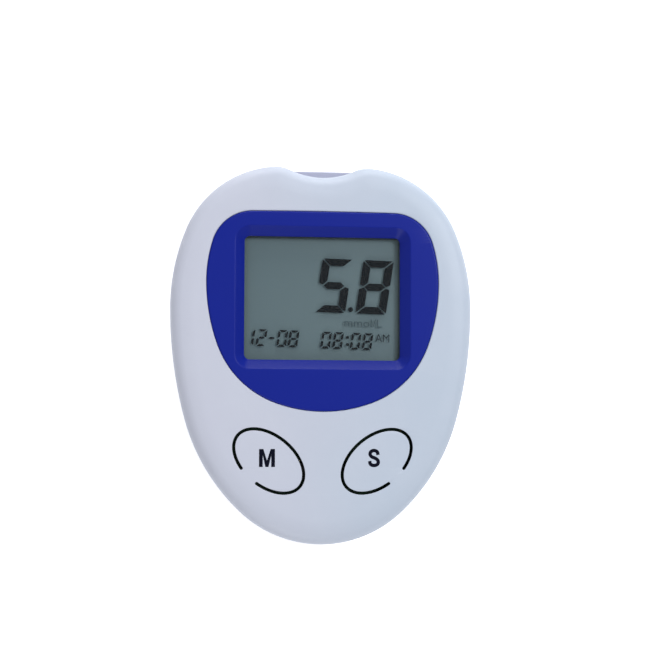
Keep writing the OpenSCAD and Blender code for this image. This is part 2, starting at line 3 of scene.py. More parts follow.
import bmesh
import bpy
import numpy as np
from mathutils import Matrix, Vector
from mathutils.geometry import tessellate_polygon


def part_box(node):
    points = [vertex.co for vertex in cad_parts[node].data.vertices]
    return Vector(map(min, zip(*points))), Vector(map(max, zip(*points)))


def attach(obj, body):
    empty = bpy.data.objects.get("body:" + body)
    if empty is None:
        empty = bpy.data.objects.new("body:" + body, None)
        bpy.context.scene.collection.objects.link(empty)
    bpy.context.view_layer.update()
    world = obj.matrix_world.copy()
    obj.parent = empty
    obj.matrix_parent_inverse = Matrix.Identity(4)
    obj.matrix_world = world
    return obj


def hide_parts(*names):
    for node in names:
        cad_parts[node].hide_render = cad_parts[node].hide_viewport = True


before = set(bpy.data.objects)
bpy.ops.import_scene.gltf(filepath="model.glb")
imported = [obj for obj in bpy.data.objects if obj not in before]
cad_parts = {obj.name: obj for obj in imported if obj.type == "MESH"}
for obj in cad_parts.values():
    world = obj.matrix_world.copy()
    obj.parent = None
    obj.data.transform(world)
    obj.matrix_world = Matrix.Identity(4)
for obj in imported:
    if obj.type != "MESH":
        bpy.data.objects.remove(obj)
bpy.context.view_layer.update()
print("frame loaded:", len(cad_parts), "nodes")

mm = 0.001  # shapes are worked out in millimetres and made in metres


# a node's lowest and highest corners in millimetres
def nodeBox(name):
    low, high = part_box(name)
    return np.array(low) / mm, np.array(high) / mm


shellHigh = nodeBox("back_shell")[1]
frontLow, frontHigh = nodeBox("front_shell")
bezelLow, bezelHigh = nodeBox("display_bezel")
lensLow, lensHigh = nodeBox("display_lens")
portLow, portHigh = nodeBox("strip_port")
keyLow = nodeBox("memory_key")[0]
boardHigh = nodeBox("main_board")[1]


# direction from p to q in degrees
def bearing(p, q):
    return math.degrees(math.atan2(q[1] - p[1], q[0] - p[0]))


# direction of the point where two nested circles touch: away from the smaller one's side
def touchAngle(p, rp, q, rq):
    return bearing(p, q) if rp > rq else bearing(q, p)


# centre of the circle of radius r that touches circle (p, rp) and circle (q, rq) from inside
def centreBetween(p, rp, q, rq, r, side):
    p, q = np.array(p, float), np.array(q, float)
    a, b, d = abs(rp - r), abs(rq - r), np.linalg.norm(q - p)
    e = (q - p) / d
    x = (a * a - b * b + d * d) / (2 * d)
    return p + e * x + side * math.sqrt(a * a - x * x) * np.array([-e[1], e[0]])


# right half of an egg as arcs (centre x, centre y, radius, from angle, to angle), lower end to upper end
def eggArcs(w, l, level, bottom, lower, flank, upper, shoulder, crest):
    cb, cf = (0, bottom - l / 2), (w / 2 - flank, level - l / 2)
    cu, cc = (w / 2 - upper, level - l / 2), (0, l / 2 - crest)
    cl = centreBetween(cb, bottom, cf, flank, lower, -1 if lower > bottom else 1)
    cs = centreBetween(cu, upper, cc, crest, shoulder, 1)
    a1, a2 = touchAngle(cb, bottom, cl, lower), touchAngle(cf, flank, cl, lower)
    a3, a4 = touchAngle(cu, upper, cs, shoulder), touchAngle(cc, crest, cs, shoulder)
    return [(*cb, bottom, -90, a1), (*cl, lower, a1, a2), (*cf, flank, a2, 0),
            (*cu, upper, 0, a3), (*cs, shoulder, a3, a4), (*cc, crest, a4, 90)]


# the same egg with a hump beside a hollow arc in place of its upper end
def dippedArcs(half, humpR, humpFrom, low):
    s = half[4]
    t = math.radians(humpFrom)
    h = (s[0] + (s[2] - humpR) * math.cos(t), s[1] + (s[2] - humpR) * math.sin(t))
    rise = low - h[1]
    hollow = (h[0] ** 2 + rise ** 2 - humpR ** 2) / (2 * (humpR - rise))
    n = (0, low + hollow)
    return half[:4] + [(*s[:4], humpFrom), (*h, humpR, humpFrom, bearing(h, n)),
                       (*n, -hollow, bearing(n, h), -90)]


# a whole outline as points and outward normals: each arc in equal turns, then mirrored in x
def wholeLine(half, turn):
    points, normals = [], []
    for cx, cy, r, a, b in half:
        t = np.radians(np.linspace(a, b, max(2, math.ceil(abs(b - a) / turn)) + 1)[:-1])
        unit = np.stack([np.cos(t), np.sin(t)], 1)
        points.append(np.array([cx, cy]) + abs(r) * unit)
        normals.append(np.sign(r) * unit)
    cx, cy, r = half[-1][:3]
    p, n = np.concatenate(points), np.concatenate(normals)
    flip = np.array([-1, 1])
    return (np.concatenate([p, [[0, cy + r]], p[:0:-1] * flip]),
            np.concatenate([n, [[0, 1]], n[:0:-1] * flip]))


# rounded rectangle about a middle, counter-clockwise, with its normals
def roundedLine(middle, w, l, r, perCorner=9):
    points, normals = [], []
    for k, (sx, sy) in enumerate([(1, -1), (1, 1), (-1, 1), (-1, -1)]):
        t = np.radians(90 * k - 90 + np.linspace(0, 90, perCorner))
        unit = np.stack([np.cos(t), np.sin(t)], 1)
        points.append(np.array([sx * (w / 2 - r), sy * (l / 2 - r)]) + r * unit)
        normals.append(unit)
    return np.concatenate(points) + np.array(middle), np.concatenate(normals)


# circle about (x, y), counter-clockwise, with its normals
def circleLine(x, y, r, n=48):
    t = np.linspace(0, 2 * np.pi, n, endpoint=False)
    unit = np.stack([np.cos(t), np.sin(t)], 1)
    return np.array([x, y]) + r * unit, unit


# a ring for each [distance in, height] of a section, carried along a line of points and normals
def carried(line, section):
    points, normals = line
    section = np.asarray(section, float)
    flat = points[None] - section[:, 0, None, None] * normals[None]
    return np.concatenate([flat, np.broadcast_to(section[:, 1, None, None], flat.shape[:2] + (1,))], 2)


# section points on an arc: distance in = centre - r cos a, height = centre + r sin a
def arcSection(centre, r, a, b, n):
    t = np.radians(np.linspace(a, b, n + 1))
    return np.stack([centre[0] - r * np.cos(t), centre[1] + r * np.sin(t)], 1)


# a new object with its place in its mesh, which rides on a body and stands for the nodes named
def makePiece(name, points, faces, carrier, material, *nodes, slot=None):
    mesh = bpy.data.meshes.new(name)
    mesh.from_pydata((np.asarray(points) * mm).tolist(), [], [list(map(int, f)) for f in faces])
    piece = bpy.data.objects.new(name, mesh)
    bpy.context.scene.collection.objects.link(piece)
    for m in material if isinstance(material, (list, tuple)) else [material]:
        mesh.materials.append(m)
    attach(piece, carrier)
    if nodes:
        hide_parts(*nodes)
    return piece


# smooth faces with creases where two faces meet at more than the angle, flat faces weighing most
def smoothed(piece, angle=32):
    mesh = piece.data
    mesh.polygons.foreach_set("use_smooth", np.ones(len(mesh.polygons), bool))
    mesh.set_sharp_from_angle(angle=math.radians(angle))
    piece.modifiers.new("flat faces first", "WEIGHTED_NORMAL").keep_sharp = True
    return piece


# merge points closer than a distance in millimetres
def joined(piece, distance):
    work = bmesh.new()
    work.from_mesh(piece.data)
    bmesh.ops.remove_doubles(work, verts=work.verts, dist=distance * mm)
    bmesh.ops.dissolve_degenerate(work, edges=work.edges, dist=distance * mm * 0.5)
    work.to_mesh(piece.data)
    work.free()
    return piece


# points and faces gathered from strips, bars and flat fills, merged where they meet
class Surface:
    def __init__(self):
        self.points, self.faces, self.marks, self.count = [], [], [], 0

    # faces count from the first of the points given; a mark picks the material
    def add(self, points, faces, marks=0):
        self.points.append(np.asarray(points, float))
        self.faces.extend([int(i) + self.count for i in face] for face in faces)
        self.marks.extend(np.broadcast_to(marks, len(faces)).tolist())
        self.count += len(points)

    # rings of points joined by quads round each ring, with one mark or one for each step between rings
    def strip(self, rings, flip=False, mark=0):
        rings = np.asarray(rings, float)
        m, n = rings.shape[:2]
        k = np.arange(m * n).reshape(m, n)
        right = np.roll(k, -1, axis=1)
        quads = np.stack([k[:-1], right[:-1], right[1:], k[1:]], -1).reshape(-1, 4)
        marks = np.repeat(np.broadcast_to(mark, m - 1), n)
        self.add(rings.reshape(-1, 3), quads[:, ::-1] if flip else quads, marks)

    # a flat face at height z: the first loop is its border, the rest are holes
    def fill(self, loops, z, up=True, mark=0):
        loops = [np.column_stack([p, np.full(len(p), z)]) for p in loops]
        tri = np.array(tessellate_polygon([[Vector(q) for q in p] for p in loops]))
        points = np.concatenate(loops)
        a, b, c = (points[tri[:, i], :2] for i in range(3))
        area = (b[:, 0] - a[:, 0]) * (c[:, 1] - a[:, 1]) - (b[:, 1] - a[:, 1]) * (c[:, 0] - a[:, 0])
        tri, area = tri[np.abs(area) > 1e-12], area[np.abs(area) > 1e-12]
        wrong = (area < 0) if up else (area > 0)
        tri[wrong] = tri[wrong][:, ::-1]
        self.add(points, tri, mark)

    # a bar with a flat outline, from low to high along an axis; along x the outline is (y, z)
    def bar(self, outline, low, high, axis="z"):
        p = np.asarray(outline, float)
        q = np.roll(p, -1, axis=0)
        if np.sum(p[:, 0] * q[:, 1] - q[:, 0] * p[:, 1]) < 0:
            p = p[::-1]
        n = len(p)
        rings = np.stack([np.column_stack([p, np.full(n, t)]) for t in (low, high)])
        rings = np.roll(rings, {"z": 0, "x": 1, "y": 2}[axis], axis=2)
        self.strip(rings)
        self.add(rings[0], [range(n)[::-1]])
        self.add(rings[1], [range(n)])
        return self

    def piece(self, name, carrier, material, *nodes, slot=None, merge=0.002):
        made = makePiece(name, np.concatenate(self.points), self.faces, carrier, material, *nodes, slot=slot)
        made.data.polygons.foreach_set("material_index", np.array(self.marks, dtype=np.int32))
        return joined(made, merge)

    # the same surface as an object that only cuts or joins another, and then goes
    def tool(self):
        mesh = bpy.data.meshes.new("tool")
        mesh.from_pydata((np.concatenate(self.points) * mm).tolist(), [], self.faces)
        made = bpy.data.objects.new("tool", mesh)
        bpy.context.scene.collection.objects.link(made)
        return joined(made, 0.002)


# joined, cut and kept inside tools, which are removed afterwards
def carved(piece, cuts=(), joins=(), meets=()):
    for operation, tools in (("UNION", joins), ("INTERSECT", meets), ("DIFFERENCE", cuts)):
        for tool in tools:
            step = piece.modifiers.new("carve", "BOOLEAN")
            step.operation, step.object, step.solver = operation, tool, "MANIFOLD"
    graph = bpy.context.evaluated_depsgraph_get()
    mesh = bpy.data.meshes.new_from_object(piece.evaluated_get(graph))
    piece.modifiers.clear()
    piece.data = mesh
    for tool in (*joins, *cuts, *meets):
        bpy.data.objects.remove(tool)
    return piece


# a block with upright corners of radius r, and edges rounded by e at its top and bottom
def roundedBox(low, high, r, e=0.0):
    low, high = np.array(low, float), np.array(high, float)
    line = roundedLine((low + high)[:2] / 2, *(high - low)[:2], r, 5)
    section = [[0, low[2]], [0, high[2]]] if e == 0 else \
        np.concatenate([arcSection((e, low[2] + e), e, -90, 0, 3), arcSection((e, high[2] - e), e, 0, 90, 3)])
    s = Surface()
    rings = carried(line, section)
    s.strip(rings)
    s.fill([rings[0][:, :2]], low[2], up=False)
    s.fill([rings[-1][:, :2]], high[2])
    return s


# a profile of (radius, distance along) turned about an axis through a place, ahead or backwards
# along it
def lathed(profile, place, axis="z", direction=1, n=48, marks=0):
    profile = np.asarray(profile, float)
    t = np.linspace(0, 2 * np.pi, n, endpoint=False)
    r, along = profile[:, :1], profile[:, 1:] * direction
    rings = np.stack([r * np.cos(t), r * np.sin(t), along + 0 * t], -1)
    rings = np.roll(rings, {"z": 0, "x": 1, "y": 2}[axis], axis=2) + np.array(place)
    s = Surface()
    s.strip(rings, flip=direction < 0, mark=marks)
    return s


# a hole with a chamfered mouth in the underside: the outline flares out by e down to the face
def flared(line, top, e):
    s = Surface()
    rings = carried(line, [[-e - 0.3, -0.3], [0, e], [0, top]])
    s.strip(rings)
    s.fill([rings[0][:, :2]], -0.3, up=False)
    s.fill([rings[-1][:, :2]], top)
    return s.tool()


# points turned about the origin by an angle in degrees
def turned(points, degrees):
    c, s = math.cos(math.radians(degrees)), math.sin(math.radians(degrees))
    return points @ np.array([[c, s], [-s, c]])


# a colour written as sRGB 0 to 255, as the linear values that Blender takes
def linear(color):
    c = np.array(color, float) / 255
    return (*np.where(c <= 0.04045, c / 12.92, ((c + 0.055) / 1.055) ** 2.4).tolist(), 1.0)


# a socket in a node tree; sums and comparisons on it add Math nodes
class Wire:
    def __init__(self, web, socket):
        self.web, self.socket = web, socket

    def math(self, operation, *values):
        return self.web.node("ShaderNodeMath", {"operation": operation}, dict(enumerate(values)))

    def most(self, other): return self.math("MAXIMUM", self, other)
    def least(self, other): return self.math("MINIMUM", self, other)
    def __add__(self, other): return self.math("ADD", self, other)
    def __radd__(self, other): return self.math("ADD", other, self)
    def __sub__(self, other): return self.math("SUBTRACT", self, other)
    def __rsub__(self, other): return self.math("SUBTRACT", other, self)
    def __mul__(self, other): return self.math("MULTIPLY", self, other)
    def __rmul__(self, other): return self.math("MULTIPLY", other, self)
    def __truediv__(self, other): return self.math("DIVIDE", self, other)
    def __abs__(self): return self.math("ABSOLUTE", self)
    def __lt__(self, other): return self.math("LESS_THAN", self, other)
    def __gt__(self, other): return self.math("GREATER_THAN", self, other)


# a node tree, with one method that adds any node: its settings first, then its sockets
class Web:
    def __init__(self, tree):
        self.tree = tree

    def node(self, kind, settings, sockets, output=0):
        made = self.tree.nodes.new(kind)
        for key, value in settings.items():
            setattr(made, key, value)
        for key, value in sockets.items():
            self.join(made.inputs[key], value)
        return Wire(self, made.outputs[output])

    # a link where the value is a Wire, else the socket's own number or colour
    def join(self, socket, value):
        if isinstance(value, Wire):
            self.tree.links.new(value.socket, socket)
        else:
            socket.default_value = value


# a material on Principled BSDF, worked out from the piece's own Object coordinates
class Finish(Web):
    def __init__(self, name, color, roughness, **settings):
        self.material = bpy.data.materials.new(name)
        self.material.use_nodes = True
        super().__init__(self.material.node_tree)
        self.shader = self.tree.nodes["Principled BSDF"]
        self.set({"Base Color": linear(color), "Roughness": roughness, **settings})
        self.place = self.node("ShaderNodeTexCoord", {}, {}, "Object")

    def set(self, sockets):
        for key, value in sockets.items():
            self.join(self.shader.inputs[key], value)

    # soft noise from 0 to 1, with its grain in millimetres, stretched by a factor along each axis
    def noise(self, grain, detail=2.0, rough=0.5, stretch=None):
        place = self.place if stretch is None else self.node(
            "ShaderNodeVectorMath", {"operation": "MULTIPLY"}, {0: self.place, 1: stretch})
        return self.node("ShaderNodeTexNoise", {}, {"Vector": place, "Scale": 1 / (grain * mm),
                                                    "Detail": detail, "Roughness": rough}, "Fac")

    # distance to the middle of the nearest of scattered cells, in cells of a size in millimetres
    def cells(self, size):
        return self.node("ShaderNodeTexVoronoi", {"feature": "F1"},
                         {"Vector": self.place, "Scale": 1 / (size * mm)}, "Distance")

    # the first colour where the amount is 0, the second where it is 1
    def mixed(self, amount, first, second):
        return self.node("ShaderNodeMix", {"data_type": "RGBA"}, {0: amount, 6: first, 7: second}, 2)

    # a value eased from 0 to 1 between two limits
    def eased(self, value, low, high):
        return self.node("ShaderNodeMapRange", {"interpolation_type": "SMOOTHSTEP"},
                         {"Value": value, "From Min": low, "From Max": high})

    # where a value falls in each repeat of a pitch in millimetres, from 0 to 1
    def repeat(self, value, pitch):
        return self.node("ShaderNodeMath", {"operation": "FRACT"}, {0: value / (pitch * mm)})

    # relief from a height of 0 to 1, over a distance in millimetres
    def bump(self, height, strength, distance):
        self.set({"Normal": self.node("ShaderNodeBump", {}, {"Height": height, "Strength": strength,
                                                             "Distance": distance * mm})})

    # x, y and z of the place, in metres
    def axes(self):
        split = self.node("ShaderNodeSeparateXYZ", {}, {0: self.place}).socket.node
        return [Wire(self, out) for out in split.outputs]


housing = {"left": (199, 203, 219), "right": (187, 199, 216), "light": (214, 220, 233),
           "fleck": (150, 146, 150), "rough": 0.42, "grain": 0.16, "bump": 0.10}


# satin moulded plastic: a slow drift of colour across the face, fine spark texture and rare specks
def housingFinish():
    f = Finish("housingPlastic", housing["left"], housing["rough"], **{"Specular IOR Level": 0.3})
    drift = f.eased(f.axes()[0] + (f.noise(26, 1) - 0.5) * 0.03, -0.03, 0.03)
    colour = f.mixed(drift, linear(housing["left"]), linear(housing["right"]))
    colour = f.mixed(f.eased(f.noise(9, 3, 0.6), 0.35, 0.75) * 0.10, colour, linear(housing["light"]))
    speck = (f.cells(7) < 0.022) * (f.noise(3.1, 0) > 0.5)
    f.set({"Base Color": f.mixed(speck * 0.5, colour, linear(housing["fleck"])),
           "Roughness": housing["rough"] + (f.noise(0.9, 3) - 0.5) * 0.12})
    f.bump(f.noise(housing["grain"], 2, 0.6) + f.noise(1.6, 1) * 0.3, housing["bump"], 0.05)
    return f.material


# plastic of one colour with cloudy shade and a fine grain
def plasticFinish(name, color, rough, grain=0.2, bump=0.15, shade=0.12, **settings):
    f = Finish(name, color, rough, **settings)
    colour = f.mixed(f.noise(4, 3) * shade * 2, linear(color), linear(tuple(0.88 * c for c in color)))
    f.set({"Base Color": colour, "Roughness": rough + (f.noise(1.1, 3) - 0.5) * 0.14})
    f.bump(f.noise(grain, 2, 0.6), bump, 0.04)
    return f.material


# bare metal: drawn lines along one axis and a cloudy tarnish
def metalFinish(name, color, rough, lines=(1, 14, 3)):
    f = Finish(name, color, rough, Metallic=1.0)
    drawn, tarnish = f.noise(1.1, 3, 0.5, lines), f.noise(2.2, 3)
    f.set({"Base Color": f.mixed(tarnish * 0.4, linear(color), linear(tuple(0.85 * c for c in color))),
           "Roughness": rough + drawn * 0.09 + (tarnish - 0.5) * 0.1})
    f.bump(drawn, 0.08, 0.02)
    return f.material


# deep blue gloss: nearly even, with hair-fine wiping marks that only the gloss shows
def glossFinish(name, color, rough):
    f = Finish(name, color, rough, **{"Specular IOR Level": 0.15})
    f.set({"Base Color": f.mixed(f.noise(11, 2) * 0.25, linear(color), linear(tuple(1.12 * c for c in color))),
           "Roughness": rough + f.noise(0.7, 3, 0.6, (1, 5, 1)) * 0.10})
    f.bump(f.noise(2.4, 2), 0.03, 0.03)
    return f.material


# rim is the colour of a painted shadow along the display ground's top and right edges
display = {"left": (102, 123, 129), "right": (107, 128, 134), "edge": (98, 116, 112), "rim": (22, 28, 40),
           "mark": (12, 15, 18), "unit": (78, 95, 100), "sparkle": (150, 168, 170),
           "drift": 18, "sideFrom": 15.6, "sideTo": 17.0, "paintedShadowFrom": (16.5, 24.9), "paintedShadowTo": (17.3, 25.6),
           "low": 19.93, "high": 19.985, "slant": 6.9, "turn": -1.8, "rowTurn": -1.6,
           "big": {"w": 7.01, "h": 12.13, "tv": 2.05, "th": 1.86, "gap": 0.31, "cut": 0.5, "tip": 0.42},
           "small": {"w": 2.33, "h": 3.93, "tv": 0.74, "th": 0.705, "gap": 0.25, "cut": 0.3, "tip": 0.2}}


# the display's ground: grey green that lightens to the right, with the sparkle of its reflector, and a painted
# shadow along its top and right edges where the bezel's wall shades it
def groundFinish():
    f = Finish("displayGround", display["left"], 0.55, **{"Specular IOR Level": 0.2})
    x, y = f.axes()[:2]
    drift, first, last = display["drift"] * mm, display["paintedShadowFrom"], display["paintedShadowTo"]
    colour = f.mixed(f.eased(x, -drift, drift), linear(display["left"]), linear(display["right"]))
    side = f.eased(abs(x), display["sideFrom"] * mm, display["sideTo"] * mm)
    colour = f.mixed(side * 0.4, colour, linear(display["edge"]))
    # painted shadow: near the top and right edges the ground darkens towards the rim colour, as if shaded by the
    # bezel's wall
    rim = f.eased(x, first[0] * mm, last[0] * mm).most(f.eased(y, first[1] * mm, last[1] * mm))
    colour = f.mixed(rim * 0.75, colour, linear(display["rim"]))
    sparkle = f.noise(0.12, 2, 0.7)
    f.set({"Base Color": f.mixed(f.eased(sparkle, 0.35, 0.85) * 0.10, colour, linear(display["sparkle"])),
           "Roughness": 0.5 + sparkle * 0.1})
    f.bump(sparkle, 0.05, 0.01)
    return f.material


# clear moulded lens: nearly all light goes through, and a thin skin of gloss stays
def lensFinish():
    f = Finish("clearLens", (60, 70, 76), 0.06, **{"Specular IOR Level": 0.5})
    f.set({"Alpha": 0.07 + f.noise(14, 2) * 0.01, "Roughness": 0.05 + f.noise(0.8, 3, 0.6) * 0.06})
    f.bump(f.noise(18, 1), 0.02, 0.2)
    return f.material


# green board: copper lines under the mask along x and y, gated into fields, with bright holes
def boardFinish():
    f = Finish("boardLaminate", (28, 96, 66), 0.35)
    field = f.noise(7, 0) > 0.5
    lineX, lineY = (f.repeat(place, 1.27) < 0.24 for place in f.axes()[:2])
    copper = lineX * field + lineY * (1 - field)
    hole = f.cells(2.5) < 0.09
    colour = f.mixed(copper * 0.6, linear((20, 88, 58)), linear((52, 130, 88)))
    f.set({"Base Color": f.mixed(hole, colour, linear((206, 190, 130))), "Metallic": hole * 0.9,
           "Roughness": 0.36 + f.noise(1.4, 3) * 0.12})
    f.bump(copper, 0.3, 0.03)
    return f.material


# black moulded package whose legs, outside its body's box, are tinned
def chipFinish(name, middle, half):
    f = Finish(name, (30, 31, 34), 0.6)
    out = [abs(place - middle[i] * mm) > half[i] * mm for i, place in enumerate(f.axes()[:2])]
    legs = out[0].most(out[1])
    shade = f.mixed(f.noise(0.5, 2), linear((26, 27, 30)), linear((38, 39, 42)))
    f.set({"Base Color": f.mixed(legs, shade, linear((206, 208, 208))), "Metallic": legs,
           "Roughness": 0.62 - legs * 0.3})
    f.bump(f.noise(0.12, 2), 0.2, 0.01)
    return f.material


# rubber connector: dark and pale layers side by side along x
def zebraFinish():
    f = Finish("zebraRubber", (36, 38, 42), 0.7)
    layer = f.repeat(f.axes()[0], 0.36) < 0.5  # a dark and a pale layer in each 0.36 mm
    f.set({"Base Color": f.mixed(layer, linear((34, 36, 40)), linear((176, 178, 182))),
           "Roughness": 0.7 + f.noise(0.4, 2) * 0.1})
    f.bump(layer, 0.2, 0.02)
    return f.material


capacitors = {"inner": 7.5, "outer": 18.7, "half": 0.5}  # places in x, and half of the bare ceramic


# tan ceramic blocks with tinned ends, which lie at known places along x
def capacitorFinish():
    f = Finish("capacitorCeramic", (172, 146, 104), 0.5)
    x = abs(f.axes()[0])
    ends = abs(x - capacitors["inner"] * mm).least(abs(x - capacitors["outer"] * mm)) > capacitors["half"] * mm
    f.set({"Base Color": f.mixed(ends, linear((172, 146, 104)), linear((210, 212, 212))), "Metallic": ends,
           "Roughness": 0.5 - ends * 0.15})
    f.bump(f.noise(0.15, 2), 0.2, 0.01)
    return f.material


# open foam: dark cells of fine and coarser size
def foamFinish():
    f = Finish("darkFoam", (40, 42, 47), 0.9)
    cells = f.cells(0.25)
    f.set({"Base Color": f.mixed(cells, linear((30, 32, 36)), linear((58, 60, 66))),
           "Roughness": 0.85 + cells * 0.1})
    f.bump(cells, 0.5, 0.05)
    return f.material


housingSkin = housingFinish()
# painted shade: a near-black finish for the walls of the narrow key slots, standing in for the shade inside them
paintedSlotShade = plasticFinish("paintedSlotShade", (17, 19, 32), 0.7, bump=0.05, **{"Specular IOR Level": 0.1})
bezelFinish = glossFinish("deepBlueGloss", (9, 30, 136), 0.26)
portFinish = plasticFinish("lavenderPlastic", (176, 180, 203), 0.45, bump=0.08, shade=0.06)
inkFinish = plasticFinish("keyInk", (7, 9, 26), 0.6, grain=0.1, bump=0.05, **{"Specular IOR Level": 0.05})
markFinish = plasticFinish("displayDark", display["mark"], 0.6, bump=0.02, **{"Specular IOR Level": 0.05})
unitFinish = plasticFinish("displayFaint", display["unit"], 0.6, bump=0.02, **{"Specular IOR Level": 0.05})
nickelFinish = metalFinish("nickelPlate", (204, 205, 204), 0.24)
goldFinish = metalFinish("goldPlate", (226, 186, 104), 0.22)
sleeveFinish = plasticFinish("cellSleeve", (58, 76, 84), 0.25, bump=0.03, shade=0.05)
bandFinish = plasticFinish("cellBand", (150, 158, 164), 0.32, bump=0.03, shade=0.05, Metallic=0.6)
whiteFinish = plasticFinish("whitePlastic", (222, 224, 226), 0.5, bump=0.1, shade=0.05)
blackFinish = plasticFinish("blackPlastic", (34, 35, 38), 0.5, bump=0.15)
glassFinish = plasticFinish("displayGlass", (142, 160, 162), 0.08, grain=3, bump=0.02, shade=0.08)
reflectorFinish = metalFinish("reflectorFilm", (196, 204, 202), 0.42, (6, 6, 1))
print("finishes made")


# give a CAD node its finish, on each of its object's material slots
def paint(material, *names):
    for name in names:
        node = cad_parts[name]
        if not node.material_slots:
            node.data.materials.append(material)
        for spot in node.material_slots:
            spot.material = material


paint(lensFinish(), "display_lens")
paint(foamFinish(), "lens_gasket")
paint(groundFinish(), "lcd_polarizer")
paint(glassFinish, "lcd_front_glass", "lcd_rear_glass")
paint(reflectorFinish, "lcd_reflector")
paint(zebraFinish(), "zebra_strip")
paint(whiteFinish, "lcd_frame")
paint(boardFinish(), "main_board")
paint(blackFinish, "memory_switch", "set_switch", "memory_plunger", "set_plunger", "buzzer")
paint(goldFinish, "strip_contacts")
paint(chipFinish("processorPackage", (0, -12.6), (3.5, 3.5)), "processor_chip")
paint(chipFinish("amplifierPackage", (14.6, -9.4), (2.5, 1.95)), "amplifier_chip")
paint(capacitorFinish(), "board_capacitors")
paint(nickelFinish, "clock_crystal", "positive_contact", "negative_contact", "bridge_contact")
print("inner parts painted")


body = {"width": 66.0, "length": 82.6, "level": 51.3, "bottom": 25.7, "lower": 43.0, "flank": 92.0,
        "upper": 45.0, "shoulder": 22.5, "crest": 180.0, "humpR": 7.0, "humpFrom": 85, "dip": 2.6,
        "bowl": 26.0, "heel": 5.0, "edge": 3.0, "crown": 14.0, "crownTilt": 12, "wall": 1.8,
        "shadow": 0.35, "fit": 0.15, "turn": 1.5}
height = frontHigh[2]                       # the flat face
plateZ = height - body["wall"]
halfL = body["length"] / 2
bodyHalf = eggArcs(body["width"], body["length"], body["level"], body["bottom"], body["lower"],
                   body["flank"], body["upper"], body["shoulder"], body["crest"])
backLine = wholeLine(bodyHalf, body["turn"])
frontLine = wholeLine(dippedArcs(bodyHalf, body["humpR"], body["humpFrom"], halfL - body["dip"]), body["turn"])

bowl, heel, edge, crown, wall = (body[k] for k in ("bowl", "heel", "edge", "crown", "wall"))
tilt = math.radians(body["crownTilt"])
wideZ = height - edge * math.cos(tilt) - crown * (1 - math.cos(tilt))
crownIn = edge * (1 - math.sin(tilt)) + crown * math.sin(tilt)
heelA = math.degrees(math.asin((wideZ - heel) / (bowl - heel)))
heelIn = bowl - (bowl - heel) * math.cos(math.radians(heelA))
partZ = frontLow[2]
partA = math.degrees(math.asin((wideZ - partZ) / bowl))
rimIn = bowl - bowl * math.cos(math.radians(partA))
tongueTop = shellHigh[2]
tongueIn = rimIn + wall / 2
innerIn = bowl - math.sqrt((bowl - wall) ** 2 - (wideZ - partZ) ** 2)
innerA = math.degrees(math.asin((wideZ - partZ) / (bowl - wall)))


# the bowl's arc from angle a to b below the widest line, a wall t in from its outer face
def bowlSection(t, a, b, n):
    return arcSection((bowl, wideZ), bowl - t, -a, -b, n)


# the same on the heel's arc, which runs down to the flat back
def heelSection(t, a, b, n):
    return arcSection((heelIn, heel), heel - t, -a, -b, n)


key = {"a": 8.65, "b": 5.4, "x": 11.7, "y": 23.3, "tilt": 39, "slot": 0.68, "neck": 4.7,
       "neckTurn": 9, "neckT": 0.8, "fillet": 0.06, "step": 3, "postR": 1.4, "tipR": 0.5,
       "notchHalf": 6, "notchIn": 1.2, "tipEdge": 0.1, "tipH": 0.3}


# a point of the oval at parameter t in degrees, moved out along its normal, and that normal
def ovalAt(t, grow=0.0):
    t = np.radians(t)
    p = np.stack([key["a"] * np.cos(t), key["b"] * np.sin(t)], -1)
    n = np.stack([np.cos(t) / key["a"], np.sin(t) / key["b"]], -1)
    n = n / np.linalg.norm(n, axis=-1, keepdims=True)
    return p + grow * n, n


neckA = -90 - key["neckTurn"]
neckHalf = math.degrees(key["neck"] / 2 / math.hypot(key["a"] * math.sin(math.radians(neckA)),
                                                     key["b"] * math.cos(math.radians(neckA))))
endA, endB = neckA + neckHalf, neckA - neckHalf + 360
spotA, spotB = ovalAt(endA)[0], ovalAt(endB)[0]
neckDirection = bearing(spotB, spotA)


# a loop round the key (side -1) or round its hole (side 1): the oval from one slot end to the other,
# part of each round end, and the neck line. Gives points, directions into the material and the
# fillet's share there.
def keyLoop(side):
    t = np.append(np.arange(endA, endB, key["step"]), endB)
    points, normals = ovalAt(t, side * key["slot"] / 2)
    shares = [np.ones(len(t))]
    allPoints, allInto = [points], [side * normals]
    ends = ((spotB, endB, neckDirection, (1, 0)), (spotA, endA, neckDirection + 180, (0, 1)))
    for spot, at, chord, ramp in ends:
        n = ovalAt(np.array(at))[1]
        rim = math.degrees(math.atan2(n[1], n[0])) + (0 if side > 0 else 180)
        sweep = (chord - rim + 180) % 360 - 180
        a = np.radians(rim + sweep * np.linspace(0, 1, 10))
        if ramp[0] < ramp[1]:
            a = a[::-1]
        unit = np.stack([np.cos(a), np.sin(a)], 1)
        cut = slice(1, None) if ramp[0] > ramp[1] else slice(0, -1)
        allPoints.append((spot + key["slot"] / 2 * unit)[cut])
        allInto.append(unit[cut])
        shares.append(np.linspace(*ramp, 10)[cut])
    return np.concatenate(allPoints), np.concatenate(allInto), np.concatenate(shares)


# points in the key's own axes, put in their place on the face; the right key is the left one mirrored
def placed(points, mirror):
    points = turned(points, -key["tilt"]) - np.array([key["x"], key["y"]])
    return (points * np.array([-1, 1]))[::-1] if mirror else points


# the same for a whole loop with its directions and shares
def placedLoop(side, mirror):
    points, into, share = keyLoop(side)
    into = turned(into, -key["tilt"])
    if mirror:
        into, share = (into * np.array([-1, 1]))[::-1], share[::-1]
    return placed(points, mirror), into, share


# rings from the top face round a fillet and straight down: r(1 - cos a) into the material and
# r(1 - sin a) down
def rimRings(loop, fillet, top, low, n=4):
    points, into, share = loop
    r = fillet * share
    rings = [np.column_stack([points + into * (r * (1 - math.cos(a)))[:, None], top - r * (1 - math.sin(a))])
             for a in np.radians(np.linspace(90, 0, n + 1))]
    return rings + [np.column_stack([points, np.full(len(points), low)])]


